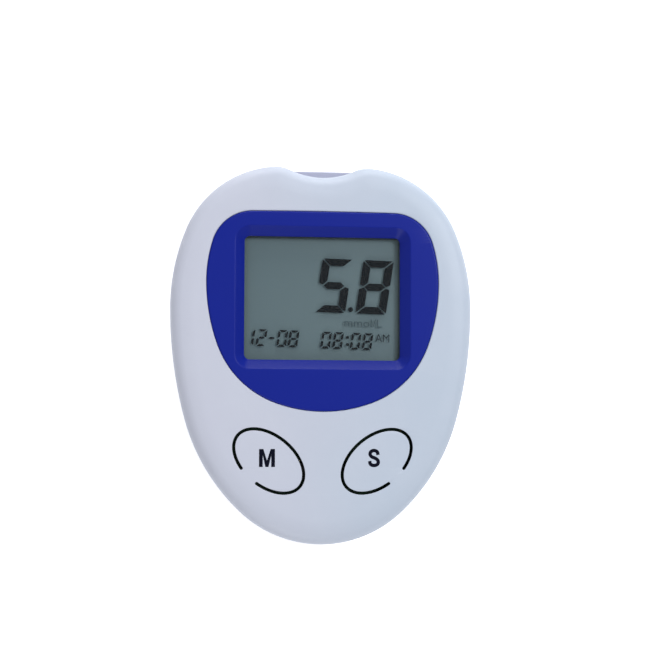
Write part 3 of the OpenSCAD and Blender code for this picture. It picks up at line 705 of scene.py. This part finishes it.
bezel = {"width": 50.7, "length": 43.5, "level": 28.1, "bottom": 30.3, "lower": 20.8, "flank": 40.3,
         "upper": 29.6, "corner": 9.15, "crest": 1100.0, "y": 9.1, "edge": 0.45, "windowEdge": 2.1,
         "windowR": 1.2, "step": 0.22, "shelf": 0.1, "rolled": 0.4, "gap": 0.03, "flange": 1.2, "turn": 1.5,
         "mouthFillet": 0.25, "lensMargin": 1.3, "under": 1.4}
bezelHalf = eggArcs(bezel["width"], bezel["length"], bezel["level"], bezel["bottom"], bezel["lower"],
                    bezel["flank"], bezel["upper"], bezel["corner"], bezel["crest"])
bezelLine = wholeLine(bezelHalf, bezel["turn"])
bezelLine = (bezelLine[0] + np.array([0, bezel["y"]]), bezelLine[1])
windowMid = (lensLow + lensHigh)[:2] / 2
windowW, windowL = (lensHigh - lensLow)[:2] - 2 * bezel["lensMargin"]
windowLine = roundedLine(windowMid, windowW, windowL, bezel["windowR"])


bay = {"half": 11.2, "low": -24.2, "high": 25.9, "ceiling": 12.75, "doorTop": 23.4, "wallT": 1.2,
       "pinY": -23.05, "pinZ": 1.0, "pinR": 0.6, "running": 0.05, "pinEnd": 12.25,
       "doorGap": 0.15, "recess": 5.0, "recessH": 0.45, "slotX": 5.6, "slotHalf": 1.4, "slotY": 25.1,
       "slotTop": 13.7}
boss = {"at": ((-12.5, 34.1), (12.5, 34.1), (0, -33.3)), "r": 2.7, "top": 13.6, "headR": 2.2, "seat": 9.0,
        "shankR": 1.2, "through": 15, "postR": 2.4, "pilotR": 1.0, "roof": 3.5, "sunk": 0.9}
mouth = {"half": 8.5, "low": 33.4, "high": 42.5, "z": 13.5, "play": 0.2, "backZ": 12.8, "tongueHalf": 11.07,
         "beyond": 43, "over": 23}  # the opening for the strip port, and the gap in the tongue beside it


# outer edge, side, parting rim, tongue groove and inner wall as one section carried round the
# dipped outline
def frontShell():
    s = Surface()
    section = np.concatenate([
        arcSection((crownIn, height - crown), crown, 90, 90 - body["crownTilt"], 6),
        arcSection((edge, wideZ), edge, 90 - body["crownTilt"], 0, 16)[1:],
        bowlSection(0, 0, partA - 1, 5)[1:],
        [[rimIn, partZ + body["shadow"]], [rimIn + body["shadow"], partZ + body["shadow"]],
         [rimIn + body["shadow"], partZ], [tongueIn - body["fit"], partZ],
         [tongueIn - body["fit"], tongueTop + body["fit"]], [innerIn, tongueTop + body["fit"]]],
        bowlSection(wall, innerA / 2, 0, 3),
        arcSection((edge, wideZ), edge - wall, 0, 90 - body["crownTilt"], 8)[1:],
        [[crownIn, plateZ]]])
    s.strip(carried(frontLine, section), flip=True)
    rim = (bezelLine[0] + bezel["gap"] * bezelLine[1], bezelLine[1], np.ones(len(bezelLine[0])))
    tops, lows = [], []
    holes = [(rim, bezel["mouthFillet"], 0)]
    holes += [(placedLoop(1, mirror), key["fillet"], 1) for mirror in (False, True)]
    for loop, fillet, mark in holes:
        rings = rimRings(loop, fillet, height, plateZ)
        s.strip(rings[:-1])
        # mark 1 gives the key slots' walls the painted slot shade, near black
        s.strip(rings[-2:], mark=mark)
        tops.append(rings[0][:, :2])
        lows.append(rings[-1][:, :2])
    s.fill([carried(frontLine, section[:1])[0][:, :2]] + tops, height)
    s.fill([carried(frontLine, section[-1:])[0][:, :2]] + lows, plateZ, up=False)
    made = s.piece("frontShell", "housing", [housingSkin, paintedSlotShade], "front_shell", slot="housing plastic")
    opening = roundedBox((-mouth["half"], mouth["low"], mouth["z"]),
                         (mouth["half"], mouth["high"], portHigh[2] + mouth["play"]), 0.3)
    posts = [Surface().bar(circleLine(x, y, boss["postR"])[0], boardHigh[2], plateZ + boss["sunk"]).tool()
             for x, y in boss["at"]]
    bores = [Surface().bar(circleLine(x, y, boss["pilotR"])[0], boardHigh[2] - 1, height - boss["roof"]).tool()
             for x, y in boss["at"]]
    return smoothed(carved(made, cuts=[opening.tool()] + bores, joins=posts))


front = frontShell()
print("front shell:", len(front.data.polygons), "faces")


# the bowl and heel of the back as a solid that stands half a wall inside the outer face
def backCore():
    s = Surface()
    half = wall / 2
    section = np.concatenate([heelSection(half, 90, heelA, 10), bowlSection(half, heelA, 0, 16)[1:]])
    rings = carried(backLine, section)
    s.strip(rings)
    s.fill([rings[0][:, :2]], half, up=False)
    s.fill([rings[-1][:, :2]], wideZ)
    return s.tool()


# heel, bowl, parting rim, tongue and inner wall carried round the egg, then the bay, bosses and
# openings
def backShell():
    s = Surface()
    section = np.concatenate([
        heelSection(0, 90, heelA, 10), bowlSection(0, heelA, partA, 16)[1:],
        [[tongueIn, partZ], [tongueIn, tongueTop], [innerIn, tongueTop]],
        bowlSection(wall, innerA, heelA, 12), heelSection(wall, heelA, 90, 8)[1:]])
    rings = carried(backLine, section)
    s.strip(rings)
    s.fill([rings[0][:, :2]], 0, up=False)
    s.fill([rings[-1][:, :2]], wall)
    made = s.piece("backShell", "housing", [housingSkin, paintedSlotShade], "back_shell", slot="housing plastic")
    w, low, high, top = bay["half"], bay["low"], bay["high"], bay["ceiling"]
    out, edgeY, slot = bay["wallT"], bay["doorTop"] + bay["doorGap"], bay["slotHalf"]
    inner = [roundedBox((-w - out, low - out, wall / 4), (w + out, high + out, top + 0.8), 0.4)]
    inner += [Surface().bar(circleLine(x, y, boss["r"])[0], 0.2, boss["top"]) for x, y in boss["at"]]
    inner = [carved(part.tool(), meets=[backCore()]) for part in inner]
    pinR, pinEnd = bay["pinR"] + bay["running"], bay["pinEnd"] + 0.2
    headR, shankR, seat, through = (boss[k] for k in ("headR", "shankR", "seat", "through"))
    cuts = [roundedBox((-w, low, wall), (w, high, top), 0.3).tool(),
            flared(roundedLine((0, (low + edgeY) / 2), 2 * w, edgeY - low, 0.25), wall + 0.01, 0.2),
            flared(circleLine(0, edgeY, bay["recess"]), bay["recessH"], 0.25),
            lathed([[0, -pinEnd], [pinR, -pinEnd], [pinR, pinEnd], [0, pinEnd]],
                   (0, bay["pinY"], bay["pinZ"]), "x").tool()]
    cuts += [lathed([[0, -1], [headR, -1], [headR, seat], [shankR, seat], [shankR, through], [0, through]],
                    (x, y, 0)).tool() for x, y in boss["at"]]
    cuts += [roundedBox((x - slot, bay["slotY"], top - 0.01), (x + slot, high + 0.01, bay["slotTop"]), 0.1).tool()
             for x in (-bay["slotX"], bay["slotX"])]
    cuts += [roundedBox((-x, mouth["low"], z), (x, mouth["beyond"], mouth["over"]), 0.1).tool()
             for x, z in ((mouth["half"], mouth["backZ"]), (mouth["tongueHalf"], partZ))]
    return smoothed(carved(made, cuts=cuts, joins=inner))


back = backShell()
print("back shell:", len(back.data.polygons), "faces")


# the tongue inside its slot, thinned under the neck line, with a stepped post that meets the plunger
def makeKey(name, mirror, letter):
    s = Surface()
    rings = rimRings(placedLoop(-1, mirror), key["fillet"], height, plateZ)
    s.strip(rings[:-1], flip=True)
    # the key's walls in its slot take mark 1, the painted slot shade
    s.strip(rings[-2:], flip=True, mark=1)
    s.fill([rings[0][:, :2]], height)
    s.fill([rings[-1][:, :2]], plateZ, up=False)
    node = "set_key" if mirror else "memory_key"
    made = s.piece(name, node, [housingSkin, paintedSlotShade], node, slot="housing plastic")
    middle = placed(np.zeros((1, 2)), mirror)[0]
    far, deep = key["notchHalf"], key["notchIn"]
    notch = np.array([[-far, -1], [far, -1], [far, deep], [-far, deep]], float)
    notch = placed(turned(notch, neckDirection) + (spotA + spotB) / 2, mirror)
    under = Surface().bar(notch, plateZ - 1, height - key["neckT"])
    z, tip, r, e = keyLow[2], key["tipR"], key["postR"], key["tipEdge"]
    step, top = z + key["tipH"], plateZ + 0.1
    post = lathed([[0, z], [tip - e, z], [tip, z + e], [tip, step], [r, step], [r, top], [0, top]], (*middle, 0))
    smoothed(carved(made, cuts=[under.tool()], joins=[post.tool()]))
    plaque(name + "Letter", letter, height, height + lettering["proud"], node, inkFinish, slot="housing plastic")
    return made


# letters: how far they stand up, their strokes, and each one's box as x from, x to, y from, y to
lettering = {"proud": 0.012, "stem": 0.80, "sWidth": 0.74, "M": (-13.79, -10.37, -24.58, -20.73),
             "S": (9.77, 12.39, -24.55, -20.67)}


# M: two stems and two slanting strokes that meet at the foot
def letterM(x0, x1, y0, y1):
    w, t = x1 - x0, lettering["stem"]
    d = 1.16 * t
    outline = [(0, 0), (t, 0), (t, 0.66), (w / 2 - 0.42 * t, 0), (w / 2 + 0.42 * t, 0), (w - t, 0.66), (w - t, 0),
               (w, 0), (w, 1), (w - d, 1), (w / 2, 0.36), (d, 1), (0, 1)]
    return [np.array([[x0 + x, y0 + y * (y1 - y0)] for x, y in outline])]


# a smooth line through points, in equal steps between each two (Catmull-Rom)
def smoothLine(points, n=8):
    p = np.array(points, float)
    p = np.concatenate([[2 * p[0] - p[1]], p, [2 * p[-1] - p[-2]]])
    t = np.linspace(0, 1, n, endpoint=False)[:, None]
    parts = [0.5 * (2 * b + (c - a) * t + (2 * a - 5 * b + 4 * c - d) * t ** 2 + (3 * b - a - 3 * c + d) * t ** 3)
             for a, b, c, d in zip(p[:-3], p[1:-2], p[2:-1], p[3:])]
    return np.concatenate(parts + [p[-2:-1]])


# S: one stroke of even width along a smooth line
def letterS(x0, x1, y0, y1):
    k = lettering["sWidth"]
    spine = smoothLine([(0.95, 0.42), (0.78, 0.80), (0.30, 1.0), (-0.30, 1.0), (-0.80, 0.80), (-0.90, 0.46),
                        (-0.55, 0.18), (0.0, 0.03), (0.60, -0.14), (0.98, -0.46), (0.86, -0.82), (0.34, -1.0),
                        (-0.34, -1.0), (-0.84, -0.82), (-1.02, -0.42)], 6)
    spine = spine * np.array([(x1 - x0 - k) / 2, (y1 - y0 - k) / 2]) + np.array([(x0 + x1) / 2, (y0 + y1) / 2])
    along = np.gradient(spine, axis=0)
    across = np.stack([-along[:, 1], along[:, 0]], 1) / np.linalg.norm(along, axis=1)[:, None]
    return [np.concatenate([spine + across * k / 2, (spine - across * k / 2)[::-1]])]


# flat shapes with a little thickness, closed all round
def plaque(name, outlines, low, high, carrier, material, slot):
    s = Surface()
    for outline in outlines:
        s.bar(outline, low, high)
    return s.piece(name, carrier, material, slot=slot, merge=0.0005)


makeKey("memoryKey", False, letterM(*lettering["M"]))
makeKey("setKey", True, letterS(*lettering["S"]))
print("keys and letters made")


# the outer edge and flange carried round the egg, the flat bevels round the window, and two flat fills
def makeBezel():
    s = Surface()
    top, low, e, f = bezelHigh[2], bezelLow[2], bezel["edge"], bezel["flange"]
    outer = carried(bezelLine, np.concatenate([
        arcSection((e, top - e), e, 90, 0, 6), [[0, plateZ], [-f, plateZ], [-f, low]]]))
    r, lens, step, rolled = bezel["windowEdge"], lensHigh[2], bezel["step"], bezel["rolled"]
    slope = math.degrees(math.atan2(top - lens - step, r - bezel["shelf"]))
    drop = rolled * math.tan(math.radians(slope / 2))
    window = carried(windowLine, np.concatenate([
        arcSection((-r - drop, top - rolled), rolled, 90, 90 + slope, 5),
        [[-bezel["shelf"], lens + step], [0, lens + step / 2], [0, lens], [-bezel["under"], lens],
         [-bezel["under"], low]]]))
    s.strip(outer, flip=True)
    s.strip(window)
    s.fill([outer[0][:, :2], window[0][:, :2]], top)
    s.fill([outer[-1][:, :2], window[-1][:, :2]], low, up=False)
    return smoothed(s.piece("displayBezel", "housing", bezelFinish, "display_bezel", slot="blue gloss plastic"), 40)


makeBezel()
print("bezel made")


segmentsOf = {"0": "abcdef", "1": "bc", "2": "abged", "5": "afgcd", "8": "abcdefg", "-": "g"}


# the seven segments of a digit box w by h, each a convex outline before the gaps are taken off
def segmentShapes(w, h, tv, th, cut, tip):
    m, k, c = h / 2, tv / 2, cut
    return {"a": [(c / 2, h - c / 2), (c, h), (w, h), (w - tv, h - th), (tv, h - th)],
            "b": [(w, h), (w, m + tip), (w - k, m), (w - tv, m + th / 2), (w - tv, h - th)],
            "c": [(w - k, m), (w, m - tip), (w, c), (w - c / 2, c / 2), (w - tv, th), (w - tv, m - th / 2)],
            "d": [(0, 0), (w - c, 0), (w - c / 2, c / 2), (w - tv, th), (tv, th)],
            "e": [(0, 0), (tv, th), (tv, m - th / 2), (k, m), (0, m - tip)],
            "f": [(c / 2, h - c / 2), (tv, h - th), (tv, m + th / 2), (k, m), (0, m + tip), (0, h - c)],
            "g": [(k, m), (tv, m + th / 2), (w - tv, m + th / 2), (w - k, m), (w - tv, m - th / 2),
                  (tv, m - th / 2)]}


# each edge of a convex outline moved in by d; new corners are where neighbouring edges meet
def narrowed(points, d):
    p = np.array(points, float)
    q = np.roll(p, -1, axis=0)
    if np.sum(p[:, 0] * q[:, 1] - q[:, 0] * p[:, 1]) < 0:
        p = p[::-1]
        q = np.roll(p, -1, axis=0)
    e = (q - p) / np.linalg.norm(q - p, axis=1)[:, None]
    n = np.stack([-e[:, 1], e[:, 0]], 1)
    before, start = np.roll(e, 1, axis=0), np.roll(p + d * n, 1, axis=0)
    gap = p + d * n - start
    cross = before[:, 0] * e[:, 1] - before[:, 1] * e[:, 0]
    t = (gap[:, 0] * e[:, 1] - gap[:, 1] * e[:, 0]) / cross
    return start + before * t[:, None]


# outlines of one digit with its lower left corner at a place, slanted and turned
def digit(sign, x, y, style, turn):
    k = display[style]
    shapes = segmentShapes(k["w"], k["h"], k["tv"], k["th"], k["cut"], k["tip"])
    slant = math.tan(math.radians(display["slant"]))
    made = [narrowed(shapes[part], k["gap"] / 2) for part in segmentsOf[sign]]
    return [turned(p + np.stack([p[:, 1] * slant, 0 * p[:, 1]], 1), turn) + np.array([x, y]) for p in made]


# where each mark stands: digits with the place of their lower left corner, points with their size
reading = {"big": (("5", -1.78, 9.02), ("8", 7.22, 8.78)), "point": (6.33, 9.74, 0.53),
           "row": (("1", -17.26), ("2", -14.62), ("-", -12.4), ("0", -10.11), ("8", -7.65),
                   ("0", -0.51), ("8", 2.12), ("0", 5.99), ("8", 8.62)), "rowY": 1.06, "rowX": -0.5,
           "colonX": 5.66, "colonY": (2.06, 3.63), "colonW": 0.62, "colonL": 0.56}


# the large reading, its point, and a row of date and time whose digits follow the row's slope
def displayMarks():
    row = display["rowTurn"]
    marks = [part for mark in reading["big"] for part in digit(*mark, "big", display["turn"])]
    marks.append(circleLine(*reading["point"], 24)[0])
    fall = math.tan(math.radians(-row))
    for sign, x in reading["row"]:
        marks += digit(sign, x, reading["rowY"] - (x - reading["rowX"]) * fall, "small", row)
    for y in reading["colonY"]:
        marks.append(roundedLine((reading["colonX"], y), reading["colonW"], reading["colonL"], 0.1)[0])
    return plaque("displayMarks", marks, display["low"], display["high"], "housing", markFinish, slot="lcd film")


# words set in the plain built-in face, as a mesh stretched to a box and turned about its lower
# left corner
def word(name, text, low, high, turn, weight, material):
    curve = bpy.data.curves.new(name, "FONT")
    curve.body, curve.size, curve.offset, curve.extrude = text, 1.0, weight, 0.05
    setter = bpy.data.objects.new(name + "Curve", curve)
    bpy.context.scene.collection.objects.link(setter)
    graph = bpy.context.evaluated_depsgraph_get()
    mesh = bpy.data.meshes.new_from_object(setter.evaluated_get(graph))
    bpy.data.objects.remove(setter)
    co = np.zeros(len(mesh.vertices) * 3)
    mesh.vertices.foreach_get("co", co)
    co = co.reshape(-1, 3)
    least, most = co.min(0), co.max(0)
    co = (co - least) / (most - least)
    size = np.array(high) - np.array(low)
    flat = turned(co[:, :2] * size, turn) + np.array(low)
    co = np.column_stack([flat, display["low"] + co[:, 2] * (display["high"] - display["low"])])
    faces = [list(p.vertices) for p in mesh.polygons]
    bpy.data.meshes.remove(mesh)
    made = makePiece(name, co, faces, "housing", material, slot="lcd film")
    return joined(made, 0.0005)


displayMarks()
word("displayHalfDay", "AM", (11.78, 2.72), (14.85, 4.45), -1.9, -0.012, markFinish)
word("displayUnit", "mmol/L", (4.90, 6.05), (13.25, 7.8), -1.5, 0.0, unitFinish)
print("display marks made")


port = {"ledgeHalf": 8.3, "ledgeY": 40.8, "jawY": 38.4, "ledgeTop": 15.6, "jawHalf": 6.9, "jawLow": 14.8,
        "slotHalf": 3.9, "slotH": 0.9, "edge": 0.25, "ledgeIn": 4.6, "flareIn": 0.9, "flareH": 1.75,
        "contacts": (-2, 0, 2), "contactHalf": 0.6, "contactIn": 5.5}


# a round-edged ledge with a jaw on it; the strip's slot flares to its mouth, with a channel for each contact
def makePort():
    y0, top, mouthY = portLow[1], portHigh[2], port["jawY"] + 0.2
    ledge = roundedBox((-port["ledgeHalf"], port["jawY"] - port["ledgeIn"], portLow[2]),
                       (port["ledgeHalf"], port["ledgeY"], port["ledgeTop"]), 1.5, port["edge"])
    made = ledge.piece("stripPort", "housing", portFinish, "strip_port", slot="lavender plastic")
    jaw = roundedBox((-port["jawHalf"], y0, port["jawLow"]), (port["jawHalf"], port["jawY"], top),
                     0.4, port["edge"])
    z0 = port["ledgeTop"]
    cuts = [roundedBox((-port["slotHalf"], y0 + 1.5, z0), (port["slotHalf"], 42, z0 + port["slotH"]), 0.2).tool()]
    flare = np.array([[port["jawY"] - port["flareIn"], z0 + 0.3], [mouthY, z0 - 0.01],
                      [mouthY, z0 + port["flareH"]]])
    cuts.append(Surface().bar(flare, -port["slotHalf"], port["slotHalf"], "x").tool())
    w = port["contactHalf"]
    cuts += [roundedBox((x - w, y0 - 1, z0 + 0.3), (x + w, y0 + port["contactIn"], top - 0.5), 0.1).tool()
             for x in port["contacts"]]
    return smoothed(carved(made, cuts=cuts, joins=[jaw.tool()]))


makePort()
print("strip port made")


door = {"half": 11.05, "top": 23.4, "t": 1.8, "edge": 0.3, "side": 0.2, "pinEdge": 0.15, "grooves": 5,
        "pitch": 1.8, "grooveR": 0.45, "grooveIn": 9, "grooveHalf": 6, "shorter": 0.8,
        "recess": 5.0, "recessH": 0.7}


# a side profile in y and z, nose round the hinge axis and rounded at the free end, carried across in x
def makeDoor():
    y0, z0, y1, t, e = bay["pinY"], bay["pinZ"], door["top"], door["t"], door["edge"]
    over = math.degrees(math.asin((t - z0) / z0))
    points, normals = [], []
    corners = ((y1 - e, e, e, -90, 0, 5), (y1 - e, t - e, e, 0, 90, 5), (y0, z0, z0, 180 - over, 270, 14))
    for cy, cz, r, a, b, n in corners:
        u = np.radians(np.linspace(a, b, n + 1))
        unit = np.stack([np.cos(u), np.sin(u)], 1)
        points.append(np.array([cy, cz]) + r * unit)
        normals.append(unit)
    line = (np.concatenate(points), np.concatenate(normals))
    side, rounding = door["half"], door["side"]
    section = np.concatenate([arcSection((rounding, -side + rounding), rounding, -90, 0, 4),
                              arcSection((rounding, side - rounding), rounding, 0, 90, 4)])
    rings = carried(line, section)[:, :, [2, 0, 1]]
    s = Surface()
    s.strip(rings)
    count = rings.shape[1]
    s.add(rings[0], [list(range(count))[::-1]])
    s.add(rings[-1], [list(range(count))])
    made = s.piece("batteryDoor", "battery_door", housingSkin, "battery_door", slot="housing plastic")
    far, r, e = bay["pinEnd"], bay["pinR"], door["pinEdge"]
    pins = lathed([[0, -far], [r - e, -far], [r, -far + e], [r, far - e], [r - e, far], [0, far]],
                  (0, y0, z0), "x", n=24).tool()
    cuts = [flared(circleLine(0, door["top"], door["recess"]), door["recessH"], 0.2)]
    for i in range(door["grooves"]):
        half = door["grooveHalf"] - door["shorter"] * i
        r = door["grooveR"]
        a = np.radians(np.linspace(0, 90, 7))
        profile = [(r * math.sin(v), -half + r * (1 - math.cos(v))) for v in a]
        profile += [(r * math.sin(v), half - r * (1 - math.cos(v))) for v in a[::-1]]
        cuts.append(lathed(profile, (0, door["top"] - door["grooveIn"] - door["pitch"] * i, 0), "x", n=24).tool())
    return smoothed(carved(made, cuts=cuts, joins=[pins]))


makeDoor()
print("battery door made")


cell = {"r": 5.25, "l": 44.5, "nub": 1.9, "n": 72, "dish": 3.1, "band": 12, "shoulder": 1.1}


# a cell along +Y or -Y: flat end, rolled edges, straight sleeve, shoulder and positive cap
def makeCell(name, node, place, direction):
    r, length, nub, dish = cell["r"], cell["l"], cell["nub"], cell["dish"]
    low = length - cell["shoulder"]
    profile = [(0, 0.15), (dish, 0.15), (dish + 0.2, 0.0), (r - 0.45, 0.0), (r - 0.15, 0.12), (r, 0.42),
               (r, length - cell["band"]), (r, low - 0.65), (r - 0.12, low - 0.3), (r - 0.6, low - 0.02),
               (r - 0.9, low), (nub + 0.5, low), (nub + 0.1, low + 0.1), (nub, low + 0.3), (nub, length - 0.25),
               (nub - 0.22, length), (0, length)]
    sleeve = [0] * 5 + [1] + [2] * 4 + [0] * 6  # nickel, dark sleeve, grey band, nickel
    s = lathed(profile, place, "y", direction, cell["n"], sleeve)
    finishes = [nickelFinish, sleeveFinish, bandFinish]
    return smoothed(s.piece(name, "housing", finishes, node, slot="cell sleeve"), 30)


# two cells side by side in opposite directions, each starting at its flat end
def makeCells():
    for name, node, sign in (("leftCell", "battery_left", 1), ("rightCell", "battery_right", -1)):
        low, high = nodeBox(node)
        start = low[1] if sign > 0 else high[1]
        makeCell(name, node, ((low[0] + high[0]) / 2, start, (low[2] + high[2]) / 2), sign)


spring = {"wire": 0.3, "turns": 4, "base": 3.4, "tip": 2.0, "free": 4.0, "steps": 160, "around": 12,
          "x": 5.6, "z": 7.3, "flat": 0.18}


# round wire along a cone-shaped helix: radius base to tip, height eased so both ends lie flat
def makeSpring(name, node, place, direction):
    k = spring
    t = np.linspace(0, 1, k["steps"] + 1)
    a, r = 2 * np.pi * k["turns"] * t, k["base"] + (k["tip"] - k["base"]) * t
    rise = k["wire"] + k["free"] * np.clip((t - k["flat"]) / (1 - 2 * k["flat"]), 0, 1)
    b = np.linspace(0, 2 * np.pi, k["around"], endpoint=False)
    wire = k["wire"]
    radial = r[:, None] + wire * np.cos(b)
    x = radial * np.cos(a)[:, None]
    z = -radial * np.sin(a)[:, None]
    y = rise[:, None] + wire * np.sin(b)
    if direction < 0:
        y, z = -y, -z
    rings = np.stack([x, y, z], -1) + np.array(place)
    s = Surface()
    s.strip(rings, flip=True)
    s.add(rings[0], [list(range(k["around"]))])
    s.add(rings[-1], [list(range(k["around"]))[::-1]])
    return smoothed(s.piece(name, "housing", nickelFinish, node, slot="nickel"), 60)


# a spring at each cell's flat end, wound towards the cell
def makeSprings():
    for name, node, sign in (("leftSpring", "battery_spring_left", 1), ("rightSpring", "battery_spring_right", -1)):
        low, high = nodeBox(node)
        start = low[1] if sign > 0 else high[1]
        makeSpring(name, node, (-sign * spring["x"], start, spring["z"]), sign)


screw = {"r": 1.9, "h": 1.5, "shank": 0.95, "root": 0.75, "thread": 0.55, "bare": 2, "point": 0.8,
         "armHalf": 1.2, "armW": 0.22, "armDeep": 0.8, "turn": 20}


# head with a cross recess, and a shank whose thread is a ring at each pitch
def makeScrews():
    low, high = nodeBox("case_screws")
    tip = high[2] - low[2]
    r, head, crest, root, pitch = (screw[k] for k in ("r", "h", "shank", "root", "thread"))
    long, wide = screw["armHalf"], screw["armW"]
    arm = np.array([[-long, -wide], [long, -wide], [long, wide], [-long, wide]])
    for i, (x, y) in enumerate(boss["at"]):
        profile = [(0, 0), (r - 0.45, 0.0), (r - 0.15, 0.12), (r, 0.42), (r, head), (root, head)]
        z = head + screw["bare"]
        while z < tip - 1.5 * screw["point"]:
            profile += [(root, z), (crest, z + pitch * 0.3), (root, z + pitch * 0.6)]
            z += pitch
        profile += [(root - 0.1, tip - screw["point"]), (0, tip)]
        s = lathed(profile, (x, y, low[2]), n=32)
        made = s.piece("caseScrew%d" % (i + 1), "housing", nickelFinish, "case_screws", slot="nickel")
        arms = [turned(arm, turn + screw["turn"] * i) + np.array([x, y]) for turn in (0, 90)]
        cuts = [Surface().bar(a, low[2] - 0.3, low[2] + screw["armDeep"]).tool() for a in arms]
        smoothed(carved(made, cuts=cuts), 30)


makeCells()
makeSprings()
makeScrews()
print("cells, springs and screws made")

camera = {"distance": 347.69, "yaw": 6.796, "pitch": 4.138, "roll": 0.1585, "aim": (1.435, 4.988, 23.0),
          "lens": 87.62}


# the camera stands off the aim point along a direction turned by yaw and pitch from straight above
def makeCamera():
    data = bpy.data.cameras.new("camera")
    data.lens, data.sensor_width = camera["lens"], 36
    data.clip_start, data.clip_end = 0.01, 20
    made = bpy.data.objects.new("camera", data)
    bpy.context.scene.collection.objects.link(made)
    y, p = math.radians(camera["yaw"]), math.radians(camera["pitch"])
    away = Vector((-math.sin(y) * math.cos(p), -math.sin(p), math.cos(y) * math.cos(p)))
    right = Vector((0, 1, 0)).cross(away).normalized()
    turn = Matrix((right, away.cross(right), away)).transposed()
    turn = turn @ Matrix.Rotation(math.radians(camera["roll"]), 3, "Z")
    made.matrix_world = Matrix.Translation((Vector(camera["aim"]) + away * camera["distance"]) * mm) @ turn.to_4x4()
    bpy.context.scene.camera = made


# one round area lamp: where it stands, its size in metres, its power and what it points at
def addLamp(name, place, size, power, aim=(0, 0, 0.02)):
    data = bpy.data.lights.new(name, "AREA")
    data.shape, data.size, data.energy = "DISK", size, power
    lamp = bpy.data.objects.new(name, data)
    turn = (Vector(place) - Vector(aim)).to_track_quat("Z", "Y")
    lamp.matrix_world = Matrix.Translation(place) @ turn.to_matrix().to_4x4()
    bpy.context.scene.collection.objects.link(lamp)


stage = {"white": 1.0, "world": 0.44, "floor": (246, 247, 249), "lift": 0.54, "half": 3.0, "drop": 0.05}

# lamps: place and size in metres, power in watts
lamps = {"keyLamp": ((0.43, 0.26, 0.72), 0.32, 3.1), "lowerFill": ((-0.16, -0.62, 0.36), 0.45, 1.3),
         "upperRim": ((0.02, 0.66, 0.17), 0.5, 2.6)}


# one where the ray comes from the camera, a glossy surface or a clear one, else nought
def seenRay(web):
    ray = web.node("ShaderNodeLightPath", {}, {}, "Is Camera Ray")
    outputs = ray.socket.node.outputs
    return ray.most(Wire(web, outputs["Is Glossy Ray"])).most(Wire(web, outputs["Is Transmission Ray"]))


# a wide pale floor that keeps the shadow, and an even world; both look white to the camera and
# in gloss
def makeStage():
    h = stage["half"]
    mesh = bpy.data.meshes.new("floor")
    z = -stage["drop"] * mm
    mesh.from_pydata([(-h, -h, z), (h, -h, z), (h, h, z), (-h, h, z)], [], [(0, 1, 2, 3)])
    floor = bpy.data.objects.new("floor", mesh)
    bpy.context.scene.collection.objects.link(floor)
    f = Finish("floorPaper", stage["floor"], 0.9, **{"Specular IOR Level": 0.0, "Emission Strength": 1.0})
    f.bump(f.noise(6, 2), 0.02, 0.05)
    lift = f.mixed(seenRay(f), (0, 0, 0, 1), (stage["lift"],) * 3 + (1,))
    f.set({"Emission Color": lift})
    mesh.materials.append(f.material)
    world = bpy.data.worlds.new("studio")
    bpy.context.scene.world = world
    world.use_nodes = True
    web = Web(world.node_tree)
    background = web.tree.nodes["Background"].inputs
    web.join(background["Color"], (1, 1, 1, 1))
    web.join(background["Strength"], web.node("ShaderNodeMapRange", {}, {
        "Value": seenRay(web), "To Min": stage["world"], "To Max": stage["white"]}))


makeCamera()
makeStage()
for name, numbers in lamps.items():
    addLamp(name, *numbers)
bpy.context.scene.view_settings.view_transform = "Standard"
print("stage, lamps and camera set")
